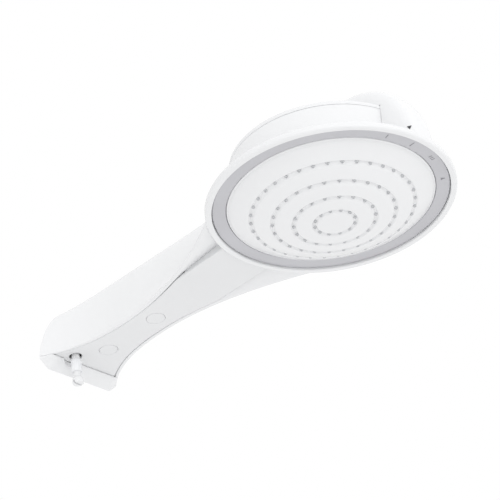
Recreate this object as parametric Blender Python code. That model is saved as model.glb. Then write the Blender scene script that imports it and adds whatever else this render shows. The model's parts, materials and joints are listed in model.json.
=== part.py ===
"""Wall-mounted electric shower head on its own waisted arm.

The arm runs along +X from the wall (x = 0) to the head, the spray faces -Z, and the arm's flat
underside lies in z = 0. The origin is on the wall face, just under the inlet socket. Everything
is modelled at rest: selector ring as stored, control spindle at its stop, contacts open.
"""

import math

import bmesh
import bpy
from mathutils import Matrix, Vector

MM = 0.001

# ---- driving sizes, in millimetres -------------------------------------------------------------
HEAD_X = 322.0            # wall to head axis
GAP = 0.3                 # between pieces that touch
RUN = 0.5                 # radial running clearance of turning pieces
SHELL_T = 3.0             # wall of the upper shell

# round rim, turning ring and spray face
RING_R = 100.0            # grey selector ring, outer
RING_W = 11.7             # radial width of the ring
RING_H = 2.6
LIP_W = 6.0               # rim beside the ring
LIP_DROP = 2.0            # how far the rim hangs below the ring
RIM_R = RING_R + LIP_W
RIM_T = 2.2               # height of the rim's upright edge, on the arm and the head alike
BEAD_W = 4.5              # rounded bead behind the rim of the head
BEAD_TOP = 4.8
FLARE_TOP = 19.0          # the concave flare runs from the rim up to here
FLARE_POWER = 2.2
SEAT_R = RING_R + RUN     # seat of the turning ring
SEAT_Z = RING_H + 0.5
FACE_R = RING_R - RING_W - GAP
DOME_DROP = 22.5          # how far the spray plate bulges below the ring
DOME_POWER = 2.6
PLATE_T = 2.2
GROOVE_W = 6.0
GROOVE_DEPTH = 1.0
FACE_MARGIN = 19.2        # smooth border around the outermost nozzles
NOZZLE_COUNTS = (12, 18, 26, 36)            # from the innermost ring outwards
NOZZLE_PITCH = (FACE_R - FACE_MARGIN) / len(NOZZLE_COUNTS)
NOZZLE_R = 1.25
NOZZLE_HOLE_R = 1.8
NOZZLE_PROUD = 1.8
MAT_T = 1.4
MAT_R = NOZZLE_PITCH * len(NOZZLE_COUNTS) + 4.0
MARK_ANGLES = (-17.8, -2.1, 14.9, 35.3)     # the four marks on the ring, degrees about +Z

# round housing
DRUM_R = RING_R - 19.0
DRUM_WALL = 2.5
LID_H = 4.0               # height of the drum's lid
LID_HOLE_R = 29.0         # opening in the lid, under the spine
FOOT_RING_R = DRUM_R + 3.0                  # foot of the round housing, under the skirt
FOOT_RING_Z = (6.5, 9.0)
LEDGE_R = DRUM_R - 6.5    # opening in the housing's floor

# water way in the head, stacked upwards from the port plate
CHAMBER_R = DRUM_R - 10.0
CHAMBER_T = 2.5
FLANGE_EXTRA = 6.3        # chamber flange beyond its wall
FLANGE_T = 2.5
PORT_Z = (9.3, 13.3)      # port plate, bottom and top
PORT_R = CHAMBER_R - 21.0
PORT_HOLE_R = 5.0
PORT_ANGLE = -10.0        # the fixed port, under the pointer
PIVOT_R = 6.0             # stud that the spray head turns on
SEAL_Z = (PORT_Z[0] - 2.0, PORT_Z[0] - GAP)
GASKET_T = 1.0
CHAMBER_LOW = PORT_Z[1] + GASKET_T + 2 * GAP
CARRIER_Z = (CHAMBER_LOW + 3.1, CHAMBER_LOW + 5.1)
CARRIER_R = CHAMBER_R - 11.0
FIN_TOP = CARRIER_Z[1] + 3.0
COIL_R = 3.2
WIRE_R = 0.55
COIL_Z = FIN_TOP + GAP + WIRE_R + COIL_R
COIL_PLACES = (CHAMBER_R * 0.65, CHAMBER_R * 0.39)
CHAMBER_TOP = COIL_Z + COIL_R + WIRE_R + 2.2
LID_Z = (CHAMBER_TOP + GAP, CHAMBER_TOP + GAP + 2.7)
SCREW_ANGLES = (45.0, 135.0, 225.0, 315.0)
SCREW_CIRCLE = CHAMBER_R + FLANGE_EXTRA / 2
SCREW_R = 1.5             # machine screw shank
DRUM_TOP = LID_Z[1] + 8.0

# pressure contacts on top of the chamber
LIFT = 2.7                # travel of the contacts
MEMBRANE_Z = (LID_Z[1] + GAP, LID_Z[1] + GAP + 0.8)
LIFTER_Z = MEMBRANE_Z[1] + GAP
LIFTER_T = 2.0
STEM_R = 4.0
COVER_R = 27.0
COVER_WALL = 1.8
SPINE_ROOM = 19.2         # half width of the spine outside the neck of the cover
NECK_R = SPINE_ROOM - SHELL_T
LIFTER_R = NECK_R - COVER_WALL - 0.9
COVER_TOP = MEMBRANE_Z[0] + 13.7
BRIDGE_Z = COVER_TOP + 4.3
BRIDGE_T = 1.7
BRIDGE_HALF = 17.0
PEG_R = 2.0               # end of the lifter that carries the bridge
CONTACT_X = 13.0
STUD_Z = BRIDGE_Z + BRIDGE_T + LIFT + GAP / 2
FRAME_Z = STUD_Z + 1.0 + GAP
FRAME_HALF = 23.0
FRAME_LEG = 3.0

# arm
WALL_HALF = 46.0          # half width of the arm at the wall
WAIST_X = 92.0
WAIST_HALF = 21.0
RIM_JOIN_X = HEAD_X - 80.0                  # where the arm's edge runs into the round rim
RIM_JOIN_HALF = 68.0
WING_END_X = HEAD_X - 54.0                  # the arm's flare ends here, inside the round housing
CROWN_X = HEAD_X + 30.0   # where the spine starts to fall to the far end
CROWN_H = 79.5
SPINE_END_X = HEAD_X + RIM_R - 0.2
END_POWER = 2.1           # how squarely the spine's end falls
NOSE_POWER = 4.5          # how squarely it is rounded in plan
POINTER_X = SPINE_END_X - 4.0
POINTER_Z = 8.0

# underside
PANEL_T = 2.5
PANEL_SIDE_GAP = 0.9      # beside the leaning inner wall of the arm
PANEL_HALF = 27.0         # half width of the panel between the two pockets
PLUG_X = (42.0, 105.0)
PLUG_R = 8.3
PLUG_T = 1.5
BOSS_TOP = 7.0
SADDLE_HALF = 5.0         # half length of a tube saddle

# wall end
FOOT_DEPTH = 10.0         # how far the foot reaches out from the wall
FOOT_DROP = 11.5          # how far it hangs below the underside
BACK_T = 4.0
SOCKET_R = 15.0
SOCKET_FLANGE = 2.0
PIPE_Z = SOCKET_R + 9.0   # height of the water way over the underside
SOCKET_BORE = 9.4         # takes a half-inch pipe nipple
SOCKET_DEPTH = 20.0
SOCKET_LEN = 26.0
SPIGOT_R = 4.6
SPIGOT_BORE = 3.2
TUBE_BORE = SPIGOT_R + GAP
TUBE_R = TUBE_BORE + 1.1
TAIL_LEN = 13.0
GROMMET_Z = 15.0
GROMMET_R = 6.0
GROMMET_COLLAR = 1.5
GROMMET_Y = SOCKET_R + SOCKET_FLANGE + GROMMET_R + GROMMET_COLLAR + RUN
GROMMET_BORE = 3.2

# control spindle and electronics
STUB_X = 17.4
STUB_Y = -18.0
SPINDLE_R = 3.7
SPINDLE_DROP = 28.5
SPINDLE_HOLE_R = 6.1
TIP_R = 5.1
TIP_H = 7.2
SLEEVE_Z = (-16.5, -4.5)
SLEEVE_T = 0.9
SHAFT_R = 2.4
POT_Z = (8.0, 13.0)
POT_HALF = 4.2
BOARD_X = (52.0, 96.0)
BOARD_HALF = 15.0
BOARD_Z = (9.0, 10.6)
SWITCH_X = (60.0, 80.0)
SWITCH_HALF = 7.0
TERMINAL_X = 135.0
TERMINAL_Y = (-10.0, 0.0, 10.0)
TERMINAL_HALF = (9.0, 16.0)
TERMINAL_Z = (8.0, 14.0)

HEAD_STEPS = 40
INNER_STEPS = 24
SMALL_STEPS = 16
DRILL_STEPS = 12

for old in list(bpy.data.objects):
    bpy.data.objects.remove(old, do_unlink=True)


# ---- materials ---------------------------------------------------------------------------------
def finish(name, colour, roughness, metallic=0.0):
    material = bpy.data.materials.new(name)
    material.use_nodes = True
    shader = material.node_tree.nodes["Principled BSDF"]
    shader.inputs["Base Color"].default_value = (*colour, 1.0)
    shader.inputs["Roughness"].default_value = roughness
    shader.inputs["Metallic"].default_value = metallic
    return material


WHITE = finish("white_gloss", (0.86, 0.87, 0.88), 0.18)
PANEL = finish("panel_white", (0.80, 0.81, 0.83), 0.30)
SILVER = finish("satin_silver", (0.52, 0.53, 0.56), 0.38, 0.55)
RUBBER = finish("white_rubber", (0.80, 0.80, 0.78), 0.55)
BLACK_RUBBER = finish("black_rubber", (0.04, 0.04, 0.04), 0.70)
DARK = finish("dark_print", (0.06, 0.06, 0.07), 0.45)
INNER = finish("inner_plastic", (0.55, 0.56, 0.58), 0.45)
BRASS = finish("brass", (0.72, 0.55, 0.25), 0.30, 1.0)
STEEL = finish("steel", (0.60, 0.61, 0.63), 0.32, 1.0)
WIRE = finish("resistance_wire", (0.42, 0.40, 0.38), 0.40, 1.0)
BOARD = finish("circuit_board", (0.05, 0.24, 0.12), 0.50)


# ---- making meshes -----------------------------------------------------------------------------
def add_object(name, bm, material, smooth=30.0):
    """Turns a bmesh, built in millimetres, into a named object in metres."""
    bmesh.ops.remove_doubles(bm, verts=bm.verts, dist=1e-5)
    bmesh.ops.recalc_face_normals(bm, faces=bm.faces)
    bmesh.ops.scale(bm, vec=(MM, MM, MM), verts=bm.verts)
    mesh = bpy.data.meshes.new(name)
    bm.to_mesh(mesh)
    bm.free()
    mesh.materials.append(material)
    mesh.shade_smooth()
    mesh.set_sharp_from_angle(angle=math.radians(smooth))
    obj = bpy.data.objects.new(name, mesh)
    bpy.context.scene.collection.objects.link(obj)
    return obj


def turned(name, profile, material, centre=(0.0, 0.0), steps=SMALL_STEPS, along="Z", height=0.0):
    """A solid of revolution. The profile is a closed list of (radius, distance along the axis)."""
    bm = bmesh.new()
    points = [bm.verts.new((radius, 0.0, level)) for radius, level in profile]
    for first, second in zip(points, points[1:] + points[:1]):
        if first.co.x > 1e-6 or second.co.x > 1e-6:
            bm.edges.new((first, second))
    geometry = bm.verts[:] + bm.edges[:]
    bmesh.ops.spin(bm, geom=geometry, cent=(0, 0, 0), axis=(0, 0, 1), angle=math.tau, steps=steps)
    bmesh.ops.remove_doubles(bm, verts=bm.verts, dist=5e-3)
    if along == "X":
        bmesh.ops.rotate(bm, verts=bm.verts, matrix=Matrix.Rotation(math.pi / 2, 3, "Y"))
        bmesh.ops.translate(bm, verts=bm.verts, vec=(0.0, centre[0], height))
    else:
        bmesh.ops.translate(bm, verts=bm.verts, vec=(centre[0], centre[1], height))
    return add_object(name, bm, material)


def rod(radius, low, high):
    """Profile of a plain round bar."""
    return [(0.0, low), (radius, low), (radius, high), (0.0, high)]


def tube(outer, inner, low, high):
    """Profile of a plain round ring or tube."""
    return [(inner, low), (outer, low), (outer, high), (inner, high)]


def prism(name, outline, low, high, material):
    """An outline in the XY plane, raised from one level to another."""
    bm = bmesh.new()
    base = bm.faces.new([bm.verts.new((x, y, low)) for x, y in outline])
    raised = bmesh.ops.extrude_face_region(bm, geom=[base])
    moved = [item for item in raised["geom"] if isinstance(item, bmesh.types.BMVert)]
    bmesh.ops.translate(bm, verts=moved, vec=(0.0, 0.0, high - low))
    return add_object(name, bm, material)


def block(name, low, high, material):
    """A box from its lowest to its highest corner."""
    outline = [(low[0], low[1]), (high[0], low[1]), (high[0], high[1]), (low[0], high[1])]
    return prism(name, outline, low[2], high[2], material)


def loft(name, loops, material, smooth=30.0):
    """Skins a row of closed loops with equal numbers of points and caps both ends."""
    bm = bmesh.new()
    rings = [[bm.verts.new(point) for point in loop] for loop in loops]
    count = len(rings[0])
    for ring, following in zip(rings, rings[1:]):
        for i in range(count):
            j = (i + 1) % count
            bm.faces.new((ring[i], ring[j], following[j], following[i]))
    bm.faces.new(rings[0])
    bm.faces.new(rings[-1])
    bmesh.ops.triangulate(bm, faces=bm.faces[:])
    return add_object(name, bm, material, smooth)


def boolean(target, tool, operation):
    """Applies a Boolean with a helper object and removes the helper."""
    tool.hide_render = True
    tool.display_type = "WIRE"
    modifier = target.modifiers.new(operation.lower(), "BOOLEAN")
    modifier.operation = operation
    modifier.object = tool
    modifier.solver = "EXACT"
    graph = bpy.context.evaluated_depsgraph_get()
    result = bpy.data.meshes.new_from_object(target.evaluated_get(graph))
    target.modifiers.clear()
    target.data = result
    bm = bmesh.new()
    bm.from_mesh(result)
    bmesh.ops.dissolve_degenerate(bm, edges=bm.edges, dist=1e-7)
    bmesh.ops.triangulate(bm, faces=bm.faces[:])
    bm.to_mesh(result)
    bm.free()
    bpy.data.objects.remove(tool, do_unlink=True)


def cut(target, tool):
    boolean(target, tool, "DIFFERENCE")


def fuse(target, tool):
    boolean(target, tool, "UNION")


def polar(radius, degrees, centre=(HEAD_X, 0.0)):
    angle = math.radians(degrees)
    return centre[0] + radius * math.cos(angle), centre[1] + radius * math.sin(angle)


def smooth_between(x, stations, column):
    """Reads one column of a table of stations at x, with a smooth curve through its rows."""
    rows = [(row[0], row[column]) for row in stations]
    if x <= rows[0][0]:
        return rows[0][1]
    if x >= rows[-1][0]:
        return rows[-1][1]
    index = max(i for i, row in enumerate(rows) if row[0] <= x)
    slopes = []
    for i in (index, index + 1):
        before, after = rows[max(i - 1, 0)], rows[min(i + 1, len(rows) - 1)]
        slopes.append((after[1] - before[1]) / (after[0] - before[0]))
    (x0, y0), (x1, y1) = rows[index], rows[index + 1]
    span = x1 - x0
    t = (x - x0) / span
    return (
        y0 * (2 * t**3 - 3 * t**2 + 1)
        + y1 * (3 * t**2 - 2 * t**3)
        + span * slopes[0] * (t**3 - 2 * t**2 + t)
        + span * slopes[1] * (t**3 - t**2)
    )


# ---- the arm's shape ---------------------------------------------------------------------------
def rim_half(x):
    """Half width of the arm's edge in the plane of its underside."""
    if x < WAIST_X:
        return WAIST_HALF + (WALL_HALF - WAIST_HALF) * ((WAIST_X - x) / WAIST_X) ** 2.6
    reach = (x - WAIST_X) / (RIM_JOIN_X - WAIST_X)
    return WAIST_HALF + (RIM_JOIN_HALF - WAIST_HALF) * reach**1.85


def beam_half(x):
    """Half width of the arm's core, without its flare."""
    if x < WAIST_X:
        return rim_half(x)
    return smooth_between(x, CORE_HALF, 1)


def flare_share(rise):
    """How much of the flare's reach is left at a height over the underside: 1 at the rim, 0 at its top."""
    if rise <= RIM_T:
        return 1.0
    return max(1.0 - (rise - RIM_T) / (FLARE_TOP - RIM_T), 0.0) ** FLARE_POWER


def along_arm(share):
    """A place between the waist and the round rim."""
    return WAIST_X + (RIM_JOIN_X - WAIST_X) * share


# x, half width of the arm's core beyond the waist
CORE_HALF = (
    (WAIST_X, WAIST_HALF),
    (along_arm(0.39), 21.5),
    (RIM_JOIN_X, 23.5),
    (HEAD_X - 30.0, 24.0),
    (CROWN_X, 19.5),
    (SPINE_END_X, 18.5),
)
# x, share of the half width kept by the side's first control, its share of the height,
# share of the half width at which the crown starts
SIDE_FORM = (
    (0.0, 0.91, 0.43, 0.52),
    (WAIST_X, 0.92, 0.43, 0.52),
    (RIM_JOIN_X, 0.96, 0.60, 0.66),
    (HEAD_X - 30.0, 0.98, 0.72, 0.78),
    (HEAD_X + 20.0, 0.99, 0.88, 0.80),
    (SPINE_END_X, 0.99, 0.88, 0.76),
)
# x, height of the crown over the underside
CROWN = (
    (0.0, 60.0),
    (60.0, 62.0),
    (along_arm(0.39), 59.0),
    (along_arm(0.75), 58.0),
    (HEAD_X - 57.0, 63.0),
    (HEAD_X, 77.0),
    (CROWN_X, CROWN_H),
)


def nose(x, inset, power):
    """How much of the spine's height or width is left where it is rounded off towards its far end."""
    reach = max((x - CROWN_X) / (SPINE_END_X - CROWN_X - inset), 0.0)
    return max(1.0 - reach**power, 0.0) ** (1.0 / power)


def section_side(x, inset, steps=11):
    """One side of a cross-section, from the rim up to the middle of the crown, as (half width, height)."""
    half = (beam_half(x) - inset) * nose(x, inset, NOSE_POWER)
    height = (smooth_between(x, CROWN, 1) - inset) * nose(x, inset, END_POWER)
    reach = rim_half(x) - beam_half(x) if WAIST_X < x <= WING_END_X else 0.0
    lean, rise, crown = (smooth_between(x, SIDE_FORM, column) for column in (1, 2, 3))
    controls = ((half, 0.0), (half * lean, height * rise), (half * crown, height), (0.0, height))
    cover = RIM_T if inset else 0.0
    side = []
    for step in range(steps + 1):
        t = (step / steps) ** 1.5
        weights = ((1 - t) ** 3, 3 * t * (1 - t) ** 2, 3 * t * t * (1 - t), t**3)
        width, level = (sum(w * c[i] for w, c in zip(weights, controls)) for i in (0, 1))
        side.append((width + reach * flare_share(level + cover), level))
    return side


def section(x, inset, floor):
    """A cross-section of the arm: flared rim, two leaning sides and a rounded crown, closed by a flat floor."""
    side = section_side(x, inset)
    half = side[0][0]
    loop = side + [(-y, z) for y, z in reversed(side[:-1])]
    if floor < 0.0:
        loop = [(half, floor)] + loop + [(-half, floor)]
    return [(x, y, z) for y, z in loop]


def half_at(x, level, inset):
    """Half width of the section at a height over the underside."""
    side = section_side(x, inset)
    for (outer, low), (inner, high) in zip(side, side[1:]):
        if low <= level <= high:
            return outer + (inner - outer) * (level - low) / (high - low)
    return 0.0


def inner_half(x, level):
    return half_at(x, level, SHELL_T)


def outer_half(x, level):
    return half_at(x, level, 0.0)


def ceiling(x, y):
    """Height of the shell's inner face over a point of the underside."""
    side = section_side(x, SHELL_T)
    for (outer, low), (inner, high) in zip(side, side[1:]):
        if inner <= abs(y) <= outer:
            return low + (high - low) * (outer - abs(y)) / (outer - inner)
    return 0.0


def arm_stations(inset, first):
    """Places along the arm where it is sectioned, closer together where it curves more."""
    pitch, last_wing = 15.0, 3.0
    places = [first] + [step * pitch for step in range(1, int(WING_END_X // pitch) + 1)]
    places += [WING_END_X, WING_END_X + last_wing, HEAD_X - 32.0, HEAD_X - 14.0, HEAD_X + 4.0, HEAD_X + 18.0]
    end, steps = SPINE_END_X - CROWN_X - inset, 9
    for step in range(steps + 1):
        places.append(CROWN_X + end * math.sin(0.97 * math.pi / 2 * step / steps) ** (2.0 / END_POWER))
    return places


def arm_solid(name, inset, first, floor):
    return loft(name, [section(x, inset, floor) for x in arm_stations(inset, first)], WHITE, 40.0)


def head_skirt():
    """Round rim of the head, with the bead and the concave flare behind it."""
    bead, inner = RIM_R - BEAD_W, DRUM_R - 8.0
    profile = [
        (inner, -LIP_DROP), (RIM_R - 2.2, -LIP_DROP), (RIM_R - 0.7, 0.8 - LIP_DROP),
        (RIM_R, 0.0), (RIM_R, RIM_T), (RIM_R - 1.6, BEAD_TOP - 1.2),
    ]
    for step in range(9):
        share = step / 8
        radius = bead + (DRUM_R - bead) * share
        profile.append((radius, BEAD_TOP + (FLARE_TOP - BEAD_TOP) * share**FLARE_POWER))
    profile.append((inner, FLARE_TOP))
    return turned("head_skirt", profile, WHITE, (HEAD_X, 0.0), HEAD_STEPS)


def head_space():
    """What the shell leaves free: the turning ring, the foot of the round housing and the housing itself."""
    under = -4.0 * LIP_DROP
    foot_r, foot_top = FOOT_RING_R + GAP, FOOT_RING_Z[1] + GAP
    profile = [
        (0.0, under), (SEAT_R + LIP_W, under), (SEAT_R, 1.0 - LIP_DROP), (SEAT_R, SEAT_Z), (foot_r, SEAT_Z),
        (foot_r, foot_top), (DRUM_R + GAP, foot_top), (DRUM_R + GAP, DRUM_TOP + GAP), (0.0, DRUM_TOP + GAP),
    ]
    return turned("head_space", profile, WHITE, (HEAD_X, 0.0), HEAD_STEPS)


def tube_way():
    """Hole for the water tube where it passes the skirt and the housing's wall."""
    wall = HEAD_X - DRUM_R
    way = rod(TUBE_R + RUN, wall - 12.0, wall + 12.0)
    return turned("tube_way", way, WHITE, (0.0,), SMALL_STEPS, "X", PIPE_Z)


def upper_shell():
    shell = arm_solid("upper_shell", 0.0, 0.0, 0.0)
    cut(shell, arm_solid("arm_hollow", SHELL_T, -4.0, -2.0))
    fuse(shell, head_skirt())
    cut(shell, head_space())
    cut(shell, tube_way())
    return shell


# ---- round housing -----------------------------------------------------------------------------
def head_body():
    """Round wall above the skirt, with a foot that the skirt holds down."""
    inner = DRUM_R - DRUM_WALL
    top = DRUM_TOP - LID_H - GAP
    low, high = FOOT_RING_Z
    profile = [
        (LEDGE_R, low), (FOOT_RING_R, low), (FOOT_RING_R, high), (DRUM_R, high), (DRUM_R, top), (inner, top),
        (inner, PORT_Z[0] - GAP), (LEDGE_R, PORT_Z[0] - GAP),
    ]
    body = turned("head_body", profile, WHITE, (HEAD_X, 0.0), HEAD_STEPS)
    cut(body, tube_way())
    return body


def drum_lid():
    low, top = DRUM_TOP - LID_H, DRUM_TOP
    lip = DRUM_R - DRUM_WALL - GAP
    profile = [
        (LID_HOLE_R, low), (lip - 2.0, low), (lip - 2.0, low - 1.5), (lip, low - 1.5), (lip, low),
        (DRUM_R, low), (DRUM_R, top - 1.5), (DRUM_R - 1.5, top), (LID_HOLE_R, top),
    ]
    return turned("drum_lid", profile, WHITE, (HEAD_X, 0.0), HEAD_STEPS)


# ---- spray face, which turns with the selector ring -----------------------------------------------
def dome(radius):
    """Level of the spray plate's outer face at a radius."""
    return -DOME_DROP * (1.0 - (radius / FACE_R) ** DOME_POWER)


def spray_plate():
    outer = [(0.0, dome(0.0))]
    half = GROOVE_W / 2
    for number in range(1, len(NOZZLE_COUNTS) + 1):
        radius = NOZZLE_PITCH * number
        outer.append((radius - half, dome(radius - half)))
        outer.append((radius, dome(radius) + GROOVE_DEPTH))
        outer.append((radius + half, dome(radius + half)))
    outer += [(FACE_R - 8.0, dome(FACE_R - 8.0)), (FACE_R, 0.6)]
    top = RING_H + 0.1
    inner = [(FACE_R, top), (FACE_R - 3.0, top)]
    for radius in (FACE_R - 6.0, NOZZLE_PITCH * 3.95, NOZZLE_PITCH * 2.8, NOZZLE_PITCH * 1.5, 0.0):
        inner.append((radius, dome(radius) + GROOVE_DEPTH + PLATE_T))
    plate = turned("spray_plate", outer + inner, WHITE, (HEAD_X, 0.0), HEAD_STEPS)
    cut(plate, nozzle_rods("nozzle_holes", NOZZLE_HOLE_R, 3.0, 8.0))
    return plate


def nozzle_places():
    for number, count in enumerate(NOZZLE_COUNTS, start=1):
        for index in range(count):
            yield NOZZLE_PITCH * number, 360.0 * index / count


def nozzle_rods(name, size, below, above, sides=4):
    """All the nozzles at once, as short upright bars around the groove floor."""
    bm = bmesh.new()
    for radius, degrees in nozzle_places():
        x, y = polar(radius, degrees)
        level = dome(radius) + GROOVE_DEPTH
        place = Matrix.Translation((x, y, level + (above - below) / 2))
        bmesh.ops.create_cone(bm, cap_ends=True, segments=sides, radius1=size, radius2=size,
                              depth=above + below, matrix=place)
    return add_object(name, bm, RUBBER)


def nozzle_mat():
    low = GROOVE_DEPTH + PLATE_T + GAP
    radii = (0.0, NOZZLE_PITCH * 1.5, NOZZLE_PITCH * 2.8, NOZZLE_PITCH * 3.95, MAT_R)
    under = [(radius, dome(radius) + low) for radius in radii]
    over = [(radius, dome(radius) + low + MAT_T) for radius in reversed(radii)]
    mat = turned("nozzle_mat", under + over, RUBBER, (HEAD_X, 0.0), HEAD_STEPS)
    fuse(mat, nozzle_rods("nozzle_nubs", NOZZLE_R, NOZZLE_PROUD, PLATE_T + GAP + MAT_T / 2))
    return mat


def manifold_plate():
    """Feeds the nozzle rings through four ports, and turns on its own stud in the port plate."""
    top, stud_top = SEAL_Z[0] - GAP, PORT_Z[1] + 4.0
    seat = dome(MAT_R) + GROOVE_DEPTH + PLATE_T + GAP + MAT_T + GAP
    profile = [
        (0.0, top - 3.0), (MAT_R - 2.0, top - 3.0), (MAT_R - 2.0, seat), (MAT_R, seat), (MAT_R, top),
        (PIVOT_R, top), (PIVOT_R, stud_top), (0.0, stud_top),
    ]
    plate = turned("manifold_plate", profile, INNER, (HEAD_X, 0.0), INNER_STEPS)
    for degrees in MARK_ANGLES:
        drill = turned("port_drill", rod(PORT_HOLE_R, top - 5.0, top + 2.0), INNER, polar(PORT_R, degrees),
                       DRILL_STEPS)
        cut(plate, drill)
    return plate


def selector_ring():
    inner, outer = RING_R - RING_W, RING_R
    profile = [
        (inner, 0.4), (inner + 0.4, 0.0), (outer - 0.6, 0.0), (outer, 0.6), (outer, RING_H), (inner, RING_H),
    ]
    ring = turned("selector_ring", profile, SILVER, (HEAD_X, 0.0), HEAD_STEPS)
    middle = RING_R - RING_W / 2
    for count, degrees in enumerate(MARK_ANGLES, start=1):
        x, y = polar(middle, degrees)
        half = 0.55 * count
        mark = block("ring_mark", (-2.2, -half, -0.35), (2.2, half, 0.6), SILVER)
        turn = Matrix.Rotation(math.radians(degrees), 4, "Z")
        mark.data.transform(Matrix.Translation((x * MM, y * MM, 0.0)) @ turn)
        fuse(ring, mark)
    return ring


def pivot_clip():
    low = PORT_Z[1] + GAP
    return turned("pivot_clip", tube(PIVOT_R + 3.0, PIVOT_R + GAP, low, low + 1.2), STEEL, (HEAD_X, 0.0))


# ---- water way in the head -----------------------------------------------------------------------
def drill_screws(piece, low, high):
    for degrees in SCREW_ANGLES:
        place = polar(SCREW_CIRCLE, degrees)
        cut(piece, turned("screw_drill", rod(SCREW_R + GAP, low, high), INNER, place, DRILL_STEPS))


def port_plate():
    reach = DRUM_R - DRUM_WALL - RUN
    plate = turned("port_plate", tube(reach, PIVOT_R + GAP, *PORT_Z), INNER, (HEAD_X, 0.0), INNER_STEPS)
    port = rod(PORT_HOLE_R, PORT_Z[0] - 2.0, PORT_Z[1] + 2.0)
    cut(plate, turned("port_hole", port, INNER, polar(PORT_R, PORT_ANGLE), DRILL_STEPS))
    drill_screws(plate, PORT_Z[0] + 0.5, PORT_Z[1] + 2.0)
    return plate


def port_seal():
    outer = CHAMBER_R - 8.0
    return turned("port_seal", tube(outer, outer - 3.0, *SEAL_Z), BLACK_RUBBER, (HEAD_X, 0.0), 32)


def chamber_gasket():
    low = PORT_Z[1] + GAP
    profile = tube(CHAMBER_R, CHAMBER_R - CHAMBER_T, low, low + GASKET_T)
    return turned("chamber_gasket", profile, BLACK_RUBBER, (HEAD_X, 0.0), 32)


def chamber_body():
    low, top = CHAMBER_LOW, CHAMBER_TOP
    flange, inner = CHAMBER_R + FLANGE_EXTRA, CHAMBER_R - CHAMBER_T
    profile = [
        (inner, low), (flange, low), (flange, low + FLANGE_T), (CHAMBER_R, low + FLANGE_T),
        (CHAMBER_R, top - FLANGE_T), (flange, top - FLANGE_T), (flange, top), (inner, top),
    ]
    chamber = turned("chamber_body", profile, INNER, (HEAD_X, 0.0), INNER_STEPS)
    root, end = HEAD_X - CHAMBER_R + 1.0, HEAD_X - CHAMBER_R - TAIL_LEN
    spigot, way = rod(SPIGOT_R, end, root), rod(SPIGOT_BORE, end - 2.0, root + 4.0)
    fuse(chamber, turned("inlet_spigot", spigot, INNER, (0.0,), DRILL_STEPS, "X", PIPE_Z))
    cut(chamber, turned("inlet_way", way, INNER, (0.0,), DRILL_STEPS, "X", PIPE_Z))
    drill_screws(chamber, low - 2.0, top + 2.0)
    return chamber


def chamber_lid():
    lid = turned("chamber_lid", rod(CHAMBER_R + FLANGE_EXTRA, *LID_Z), INNER, (HEAD_X, 0.0), INNER_STEPS)
    for degrees in (0.0, 120.0, 240.0):
        way = rod(3.0, LID_Z[0] - 2.0, LID_Z[1] + 2.0)
        cut(lid, turned("pressure_way", way, INNER, polar(10.0, degrees), DRILL_STEPS))
    drill_screws(lid, LID_Z[0] - 2.0, LID_Z[1] + 2.0)
    return lid


def machine_screw(name, place, head_low, reach, material, head=2.8, head_h=1.8):
    """A screw standing head up, or head down when its shank reaches upwards."""
    if reach < 0.0:
        end, slot = head_low + reach, head_low + head_h
        profile = [(0.0, end), (SCREW_R, end), (SCREW_R, head_low), (head, head_low), (head, slot), (0.0, slot)]
    else:
        seat, slot = head_low + head_h, head_low
        profile = [(0.0, head_low), (head, head_low), (head, seat), (SCREW_R, seat), (SCREW_R, seat + reach),
                   (0.0, seat + reach)]
    screw = turned(name, profile, material, place, DRILL_STEPS)
    width, depth = 0.35, 0.7
    cut(screw, block("slot", (place[0] - head - 1, place[1] - width, slot - depth),
                     (place[0] + head + 1, place[1] + width, slot + depth), material))
    return screw


def chamber_screws():
    head_low = LID_Z[1] + GAP
    for number, degrees in enumerate(SCREW_ANGLES, start=1):
        machine_screw(f"chamber_screw_{number}", polar(SCREW_CIRCLE, degrees), head_low,
                      PORT_Z[0] + 1.0 - head_low, STEEL)


def element_carrier():
    """Perforated disc with four fins that hold the heating coils off its face."""
    carrier = turned("element_carrier", tube(CARRIER_R, 12.0, *CARRIER_Z), INNER, (HEAD_X, 0.0), 32)
    for quarter in range(4):
        fin = block("fin", (14.0, -1.5, CARRIER_Z[0] + 0.5), (CARRIER_R - 2.0, 1.5, FIN_TOP), INNER)
        spin = Matrix.Rotation(math.pi / 2 * quarter + 0.4, 4, "Z")
        turn = Matrix.Translation((HEAD_X * MM, 0.0, 0.0)) @ spin
        fin.data.transform(turn)
        fuse(carrier, fin)
    return carrier


def swept(name, points, radius, material, sides=4):
    """A round wire along a row of points."""
    curve = bpy.data.curves.new(name, "CURVE")
    curve.dimensions = "3D"
    curve.bevel_depth = radius * MM
    curve.bevel_resolution = (sides - 4) // 2
    curve.use_fill_caps = True
    line = curve.splines.new("POLY")
    line.points.add(len(points) - 1)
    for point, place in zip(line.points, points):
        point.co = (*(Vector(place) * MM), 1.0)
    curve.materials.append(material)
    obj = bpy.data.objects.new(name, curve)
    bpy.context.scene.collection.objects.link(obj)
    return obj


def heating_coil(name, radius, first, last, turns):
    """A coiled resistance wire laid along an arc around the head's axis."""
    points, per_turn = [], 6
    for step in range(turns * per_turn + 1):
        share = step / (turns * per_turn)
        around = math.tau * turns * share
        x, y = polar(radius + COIL_R * math.cos(around), first + (last - first) * share)
        points.append((x, y, COIL_Z + COIL_R * math.sin(around)))
    return swept(name, points, WIRE_R, WIRE)


# ---- pressure contacts on top of the chamber -----------------------------------------------------
def diaphragm():
    disc = rod(COVER_R - COVER_WALL - 2 * GAP, *MEMBRANE_Z)
    return turned("diaphragm", disc, BLACK_RUBBER, (HEAD_X, 0.0), INNER_STEPS)


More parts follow.
